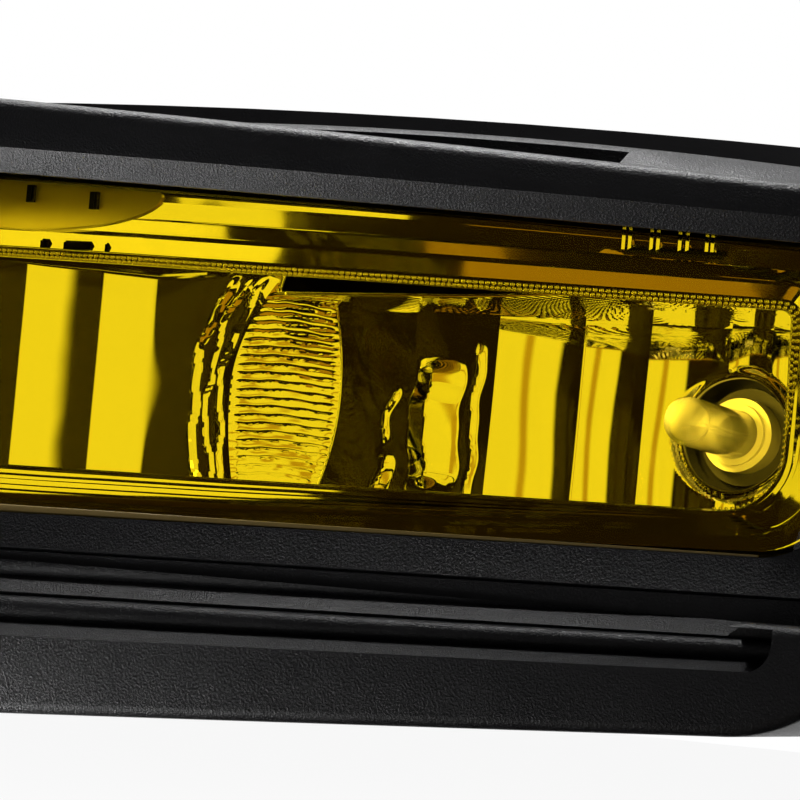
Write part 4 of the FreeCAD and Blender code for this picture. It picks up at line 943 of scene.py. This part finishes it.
def small_piece(name, mesh, material):
    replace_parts(new_piece(name, mesh, "lamp", material, 30), "trim_frame")


small_piece("trim_pad", make_pad(-98.0, 46.5, 40.0, 9.0, 1.2), PAD_WARM_REFLECTION)

# %% Clips, slots and comb
CLIPS = [(-97.9, -35.0, 46.6), (-77.7, -36.0, 45.0)]
SLOT_SHADES = [((-96.8, -27.5, 34.0), 2.2), ((-86.5, -27.5, 33.7), 8.2), ((-77.5, -27.5, 33.4), 0.6)]
RIBS = (70.8, 72.4, 77.9, 79.6, 85.1, 87.0, 91.9, 93.3)


def blocks(points, size, turn=(0, 0, 0), material=TRIM_MIRROR):
    """Blocks of one size, in millimetres and degrees, at points."""
    return grow_mesh(BLOCKS, point_mesh("places", points), Size=[v * MM for v in size],
                     Turn=[math.radians(v) for v in turn], Material=material)


small_piece("trim_clips", blocks(CLIPS, (2.4, 1.6, 4.6), material=BEZEL_BLACK), BEZEL_BLACK)
springs = [(x + 0.5, y - 0.8, z) for x, y, z in CLIPS]
small_piece("trim_clip_springs", blocks(springs, (0.5, 0.5, 3.6), (0, 0, 45)), TRIM_MIRROR)
# the slots are black blocks: painted shade standing in for the dark recesses of the snap slots
for k, (place, width) in enumerate(SLOT_SHADES):
    small_piece("trim_slot_%d" % k, blocks([place], (width, 1.6, 1.9), material=BEZEL_BLACK), BEZEL_BLACK)
ribs = [(x, -35.0 + 0.7 * crown(x), 39.7 - 0.05 * (x - 77)) for x in RIBS]
small_piece("trim_comb", blocks(ribs, (0.8, 0.8, 6.8), (0, 0, 25)), TRIM_MIRROR)
backs = [(x, y + 2.0, z) for x, y, z in ribs]
small_piece("trim_comb_webs", blocks(backs, (0.5, 4.0, 6.8)), TRIM_MIRROR)
foot = [(84.0, -34.5 + 0.45 * crown(84.0), 36.2)]
small_piece("trim_comb_foot", blocks(foot, (25.0, 1.2, 1.2), (50, 2.5, 0)), TRIM_MIRROR)

# %% [markdown]
# ## The lit foot of the lens
# Along its lower edge the lens catches light. That lit edge is painted: an opaque brownish-yellow strip
# stands in for it. It is a thin strip that follows the window's lower edge and the lens's curve.

# %% Strip with the lens's lit edge painted on
# painted highlight: this brownish-yellow colour stands in for light caught by the lens's lower edge
LENS_EDGE_SHEEN = plastic("lens edge with painted light", (0.22, 0.15, 0.04), (0.28, 0.24, 0.17), (0.30, 0.42),
                  900, 0.3, 0.4, 0.4)


def make_rail(left, right, steps):
    section = ((-41.05, 2.5), (-41.3, 2.2), (-41.3, 0.7), (-41.05, 0.4), (-40.7, 0.4), (-40.7, 2.5))
    rows = []
    for y, up in section + section[:1]:
        row = []
        for k in range(steps + 1):
            x = left + (right - left) * k / steps
            edge = WINDOW_SHAPE[3][0] + WINDOW_SHAPE[3][1] * x
            taper = 0.2 + 0.8 * (right - x) / (right - left)
            row.append((x, y + crown(x), edge + 0.3 + (up - 0.3) * taper))
        rows.append(row)
    points, faces = [], []
    add_strip(points, faces, rows)
    return mesh_from("lens_foot", points, faces)


new_piece("lens_foot", make_rail(-124.0, 112.0, 120), "lamp", LENS_EDGE_SHEEN, 40)

# %% [markdown]
# ## The filament
# A halogen filament is a tight coil across the bulb. A spiral curve with a round wire swept along it gives
# the real thing; the CAD model only keeps a rod in its place.

# %% Coil
low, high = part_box("bulb_filament")
middle, wire = (low + high) / 2, 0.00014
coil = grow_mesh(COIL, point_mesh("start", [(0, 0, 0)]), Turns=8.0, Coil_Radius=(high.z - low.z) / 2 - wire,
                 Length=high.x - low.x - 2 * wire, Wire=wire, Place=(low.x + wire, middle.y, middle.z),
                 Material=WIRE)
filament = new_piece("filament_coil", coil, node_body("bulb_filament"),
                     WIRE, 60)
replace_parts(filament, "bulb_filament")

# %% [markdown]
# ## The stage
# The lamp floats over a pale floor, before a white background. A mirror only shows what stands round it, so
# mirrors and glass see a studio of their own, painted into the world: white above, behind and to the right,
# and dark from straight ahead round to the left. Dark and brown cards on the floor are switched off for the
# camera and for matte surfaces. Together they give the chrome its dark stripes. The lamps are stronger than
# plain studio light: a matte grey card that faces up or left renders three to four times as bright as it is
# written. A plainer stage would need lighter blacks and weaker lamps.

# %% Camera
AZIMUTH, ELEVATION, ROLL = math.radians(25.0), math.radians(-4.0), math.radians(5.0)
TARGET = Vector((0.015, -0.035, -0.003))
DISTANCE = 0.75


def make_camera():
    towards = Vector((math.sin(AZIMUTH) * math.cos(ELEVATION), -math.cos(AZIMUTH) * math.cos(ELEVATION),
                      math.sin(ELEVATION)))
    right = Vector((0, 0, 1)).cross(towards).normalized()
    up = towards.cross(right)
    tilted_right = right * math.cos(ROLL) + up * math.sin(ROLL)
    tilted_up = up * math.cos(ROLL) - right * math.sin(ROLL)
    turn = Matrix((tilted_right, tilted_up, towards)).transposed().to_4x4()
    lens = bpy.data.cameras.new("camera")
    lens.lens = 135.0
    lens.sensor_width = 36.0
    lens.clip_start = 0.01
    obj = bpy.data.objects.new("camera", lens)
    obj.matrix_world = Matrix.Translation(TARGET + towards * DISTANCE) @ turn
    bpy.context.collection.objects.link(obj)
    bpy.context.scene.camera = obj


make_camera()


# %% World and floor
def soft_step(tree, value, start, end):
    """Rises smoothly from 0 at start to 1 at end."""
    ramp = tree.nodes.new("ShaderNodeMapRange")
    ramp.interpolation_type = "SMOOTHSTEP"
    tree.links.new(value, ramp.inputs["Value"])
    ramp.inputs["From Min"].default_value = start
    ramp.inputs["From Max"].default_value = end
    return ramp.outputs["Result"]


CEILING_EDGE = (78.0, 88.0)    # degrees up, from dark to white
RIGHT_EDGE = (-4.0, -1.0)      # degrees round from straight ahead, to the right
LEFT_EDGE = (-95.0, -110.0)
BROWN_ZONE, BROWN_BLUR, BROWN_TOP = (11.0, 15.0), 3.0, (40.0, 30.0)
DARK_TONE = (0.012, 0.0078, 0.006)
BROWN_TONE = (0.55, 0.40, 0.25)
DEGREES = 57.2958              # in one radian
SOFT_LIGHT = 0.30              # what matte surfaces get from the world


def studio_walls(tree):
    """White above, behind and right, dark from straight ahead round to the left, and a brown strip."""
    place = tree.nodes.new("ShaderNodeTexCoord")
    split = tree.nodes.new("ShaderNodeSeparateXYZ")
    tree.links.new(place.outputs["Generated"], split.inputs["Vector"])
    front = add_math(tree, "MULTIPLY", split.outputs["Y"], -1.0)
    azimuth = add_math(tree, "MULTIPLY", add_math(tree, "ARCTAN2", split.outputs["X"], front), DEGREES)
    elevation = add_math(tree, "MULTIPLY", add_math(tree, "ARCSINE", split.outputs["Z"], 0.0), DEGREES)
    above = soft_step(tree, elevation, *CEILING_EDGE)
    right = soft_step(tree, azimuth, *RIGHT_EDGE)
    left = soft_step(tree, azimuth, *LEFT_EDGE)
    white = add_math(tree, "MAXIMUM", add_math(tree, "MAXIMUM", above, right), left)
    walls = blend_colours(tree, white, DARK_TONE, (1.0, 1.0, 1.0))
    near_side = soft_step(tree, azimuth, BROWN_ZONE[0], BROWN_ZONE[0] + BROWN_BLUR)
    far_side = soft_step(tree, azimuth, BROWN_ZONE[1] + BROWN_BLUR, BROWN_ZONE[1])
    below = soft_step(tree, elevation, *BROWN_TOP)
    strip = add_math(tree, "MULTIPLY", add_math(tree, "MULTIPLY", near_side, far_side), below)
    return blend_colours(tree, strip, walls, BROWN_TONE)


def make_world():
    world = bpy.data.worlds.new("studio")
    bpy.context.scene.world = world
    world.use_nodes = True
    tree = world.node_tree
    tree.nodes.clear()
    out = tree.nodes.new("ShaderNodeOutputWorld")
    path = tree.nodes.new("ShaderNodeLightPath")
    mirrored = add_math(tree, "MAXIMUM", path.outputs["Is Glossy Ray"],
                        path.outputs["Is Transmission Ray"])
    soft = (SOFT_LIGHT, SOFT_LIGHT, SOFT_LIGHT)
    colour = blend_colours(tree, mirrored, soft, studio_walls(tree))
    colour = blend_colours(tree, path.outputs["Is Camera Ray"], colour, (1.0, 1.0, 1.0))
    shade = tree.nodes.new("ShaderNodeBackground")
    tree.links.new(colour, shade.inputs["Color"])
    shade.inputs["Strength"].default_value = 1.0
    tree.links.new(shade.outputs["Background"], out.inputs["Surface"])


make_world()


def flat_sheet(name, corners, material):
    mesh = bpy.data.meshes.new(name)
    mesh.from_pydata(corners, [], [tuple(range(len(corners)))])
    obj = bpy.data.objects.new(name, mesh)
    bpy.context.collection.objects.link(obj)
    obj.data.materials.append(material)
    return obj


FLOOR_Z, FLOOR_SIZE = -0.30, 6.0
FLOOR_GLOW = 0.90    # how far the seen floor is plain white; the rest shows its real light and shadow


def make_floor():
    material, tree, shader = start_material("pale floor")
    shader.inputs["Base Color"].default_value = (0.86, 0.86, 0.86, 1)
    shader.inputs["Roughness"].default_value = 0.9
    glow = tree.nodes.new("ShaderNodeEmission")
    glow.inputs["Strength"].default_value = 1.0
    path = tree.nodes.new("ShaderNodeLightPath")
    seen = add_math(tree, "MAXIMUM", path.outputs["Is Camera Ray"], path.outputs["Is Glossy Ray"])
    seen = add_math(tree, "MAXIMUM", seen, path.outputs["Is Transmission Ray"])
    share = add_math(tree, "MULTIPLY", seen, FLOOR_GLOW)
    mix = tree.nodes.new("ShaderNodeMixShader")
    tree.links.new(share, mix.inputs["Fac"])
    tree.links.new(shader.outputs[0], mix.inputs[1])
    tree.links.new(glow.outputs[0], mix.inputs[2])
    tree.links.new(mix.outputs[0], tree.nodes["Material Output"].inputs["Surface"])
    corners = ((-1, -1), (1, -1), (1, 1), (-1, 1))
    flat_sheet("floor", [(x * FLOOR_SIZE, y * FLOOR_SIZE, FLOOR_Z) for x, y in corners], material)


make_floor()


# %% Cards on the floor, for the chrome to mirror
def glowing(name, colour):
    material = bpy.data.materials.new(name)
    material.use_nodes = True
    tree = material.node_tree
    tree.nodes.clear()
    out = tree.nodes.new("ShaderNodeOutputMaterial")
    glow = tree.nodes.new("ShaderNodeEmission")
    glow.inputs["Color"].default_value = (*colour, 1)
    tree.links.new(glow.outputs[0], out.inputs["Surface"])
    return material


def lay_card(name, corners, height, colour):
    card = flat_sheet(name, [(x, y, FLOOR_Z + height) for x, y in corners], glowing(name, colour))
    card.visible_camera = False
    card.visible_diffuse = False
    card.visible_shadow = False


lay_card("dark card near", [(-0.30, 0.3), (-0.28, -0.29), (-0.256, -0.35), (-0.30, -0.58), (-0.73, -1.03),
                            (-0.84, -1.2), (1.6, -1.2), (1.6, 0.3)], 0.002, (0.012, 0.0075, 0.005))
lay_card("dark card far", [(-0.063, -1.2), (-6.0, -1.2), (-6.0, -6.0), (-0.314, -6.0)], 0.002,
         (0.012, 0.0078, 0.006))
lay_card("brown card", [(-0.17, -0.2), (-0.17, -0.45), (0.8, -0.45), (0.8, -0.2)], 0.004,
         (0.40, 0.25, 0.12))


# %% Lamps
def area_lamp(name, place, aim, size, power):
    light = bpy.data.lights.new(name, "AREA")
    light.shape = "RECTANGLE"
    light.size, light.size_y = size
    light.energy = power
    obj = bpy.data.objects.new(name, light)
    obj.location = place
    obj.rotation_euler = (Vector(aim) - Vector(place)).to_track_quat("-Z", "Y").to_euler()
    bpy.context.collection.objects.link(obj)
    return obj


area_lamp("key", (-0.5, 0.7, 1.6), (0, 0, 0), (1.4, 0.8), 11)
area_lamp("overhead left", (-0.42, 0.04, 1.26), (-0.05, 0, 0), (0.5, 0.12), 85)
area_lamp("fill", (1.3, -0.6, 0.9), (0, 0, 0), (0.8, 0.8), 4)
area_lamp("low left", (-0.46, -0.02, -0.27), (-0.05, -0.05, 0.0), (0.30, 0.34), 21)

low_front = area_lamp("low front", (-0.20, -0.20, -0.285), (-0.06, -0.05, -0.06), (0.30, 0.12), 2)
low_front.visible_transmission = False    # it would show in the trim's mirror

# %% [markdown]
# The studio's lamps hardly reach the bulb through the lens. Two tiny lamps inside the lamp room light the
# bulb and its base, and mirrors and glass can't see them. They belong to this picture and not to the lamp.

# %% Two tiny lamps inside the lamp room
BULB_MIDDLE = (0.0855, 0.010, -0.003)
BULB_LIGHTS = (("left", (0.070, -0.030, 0.010), 0.065), ("right", (0.103, -0.026, -0.012), 0.022))
for side, place, power in BULB_LIGHTS:
    bulb_light = area_lamp("bulb light " + side, place, BULB_MIDDLE, (0.012, 0.012), power)
    bulb_light.data.color = (1.0, 0.80, 0.40)
    bulb_light.visible_glossy = False
    bulb_light.visible_transmission = False

# %% Colour
bpy.context.scene.view_settings.view_transform = "Standard"
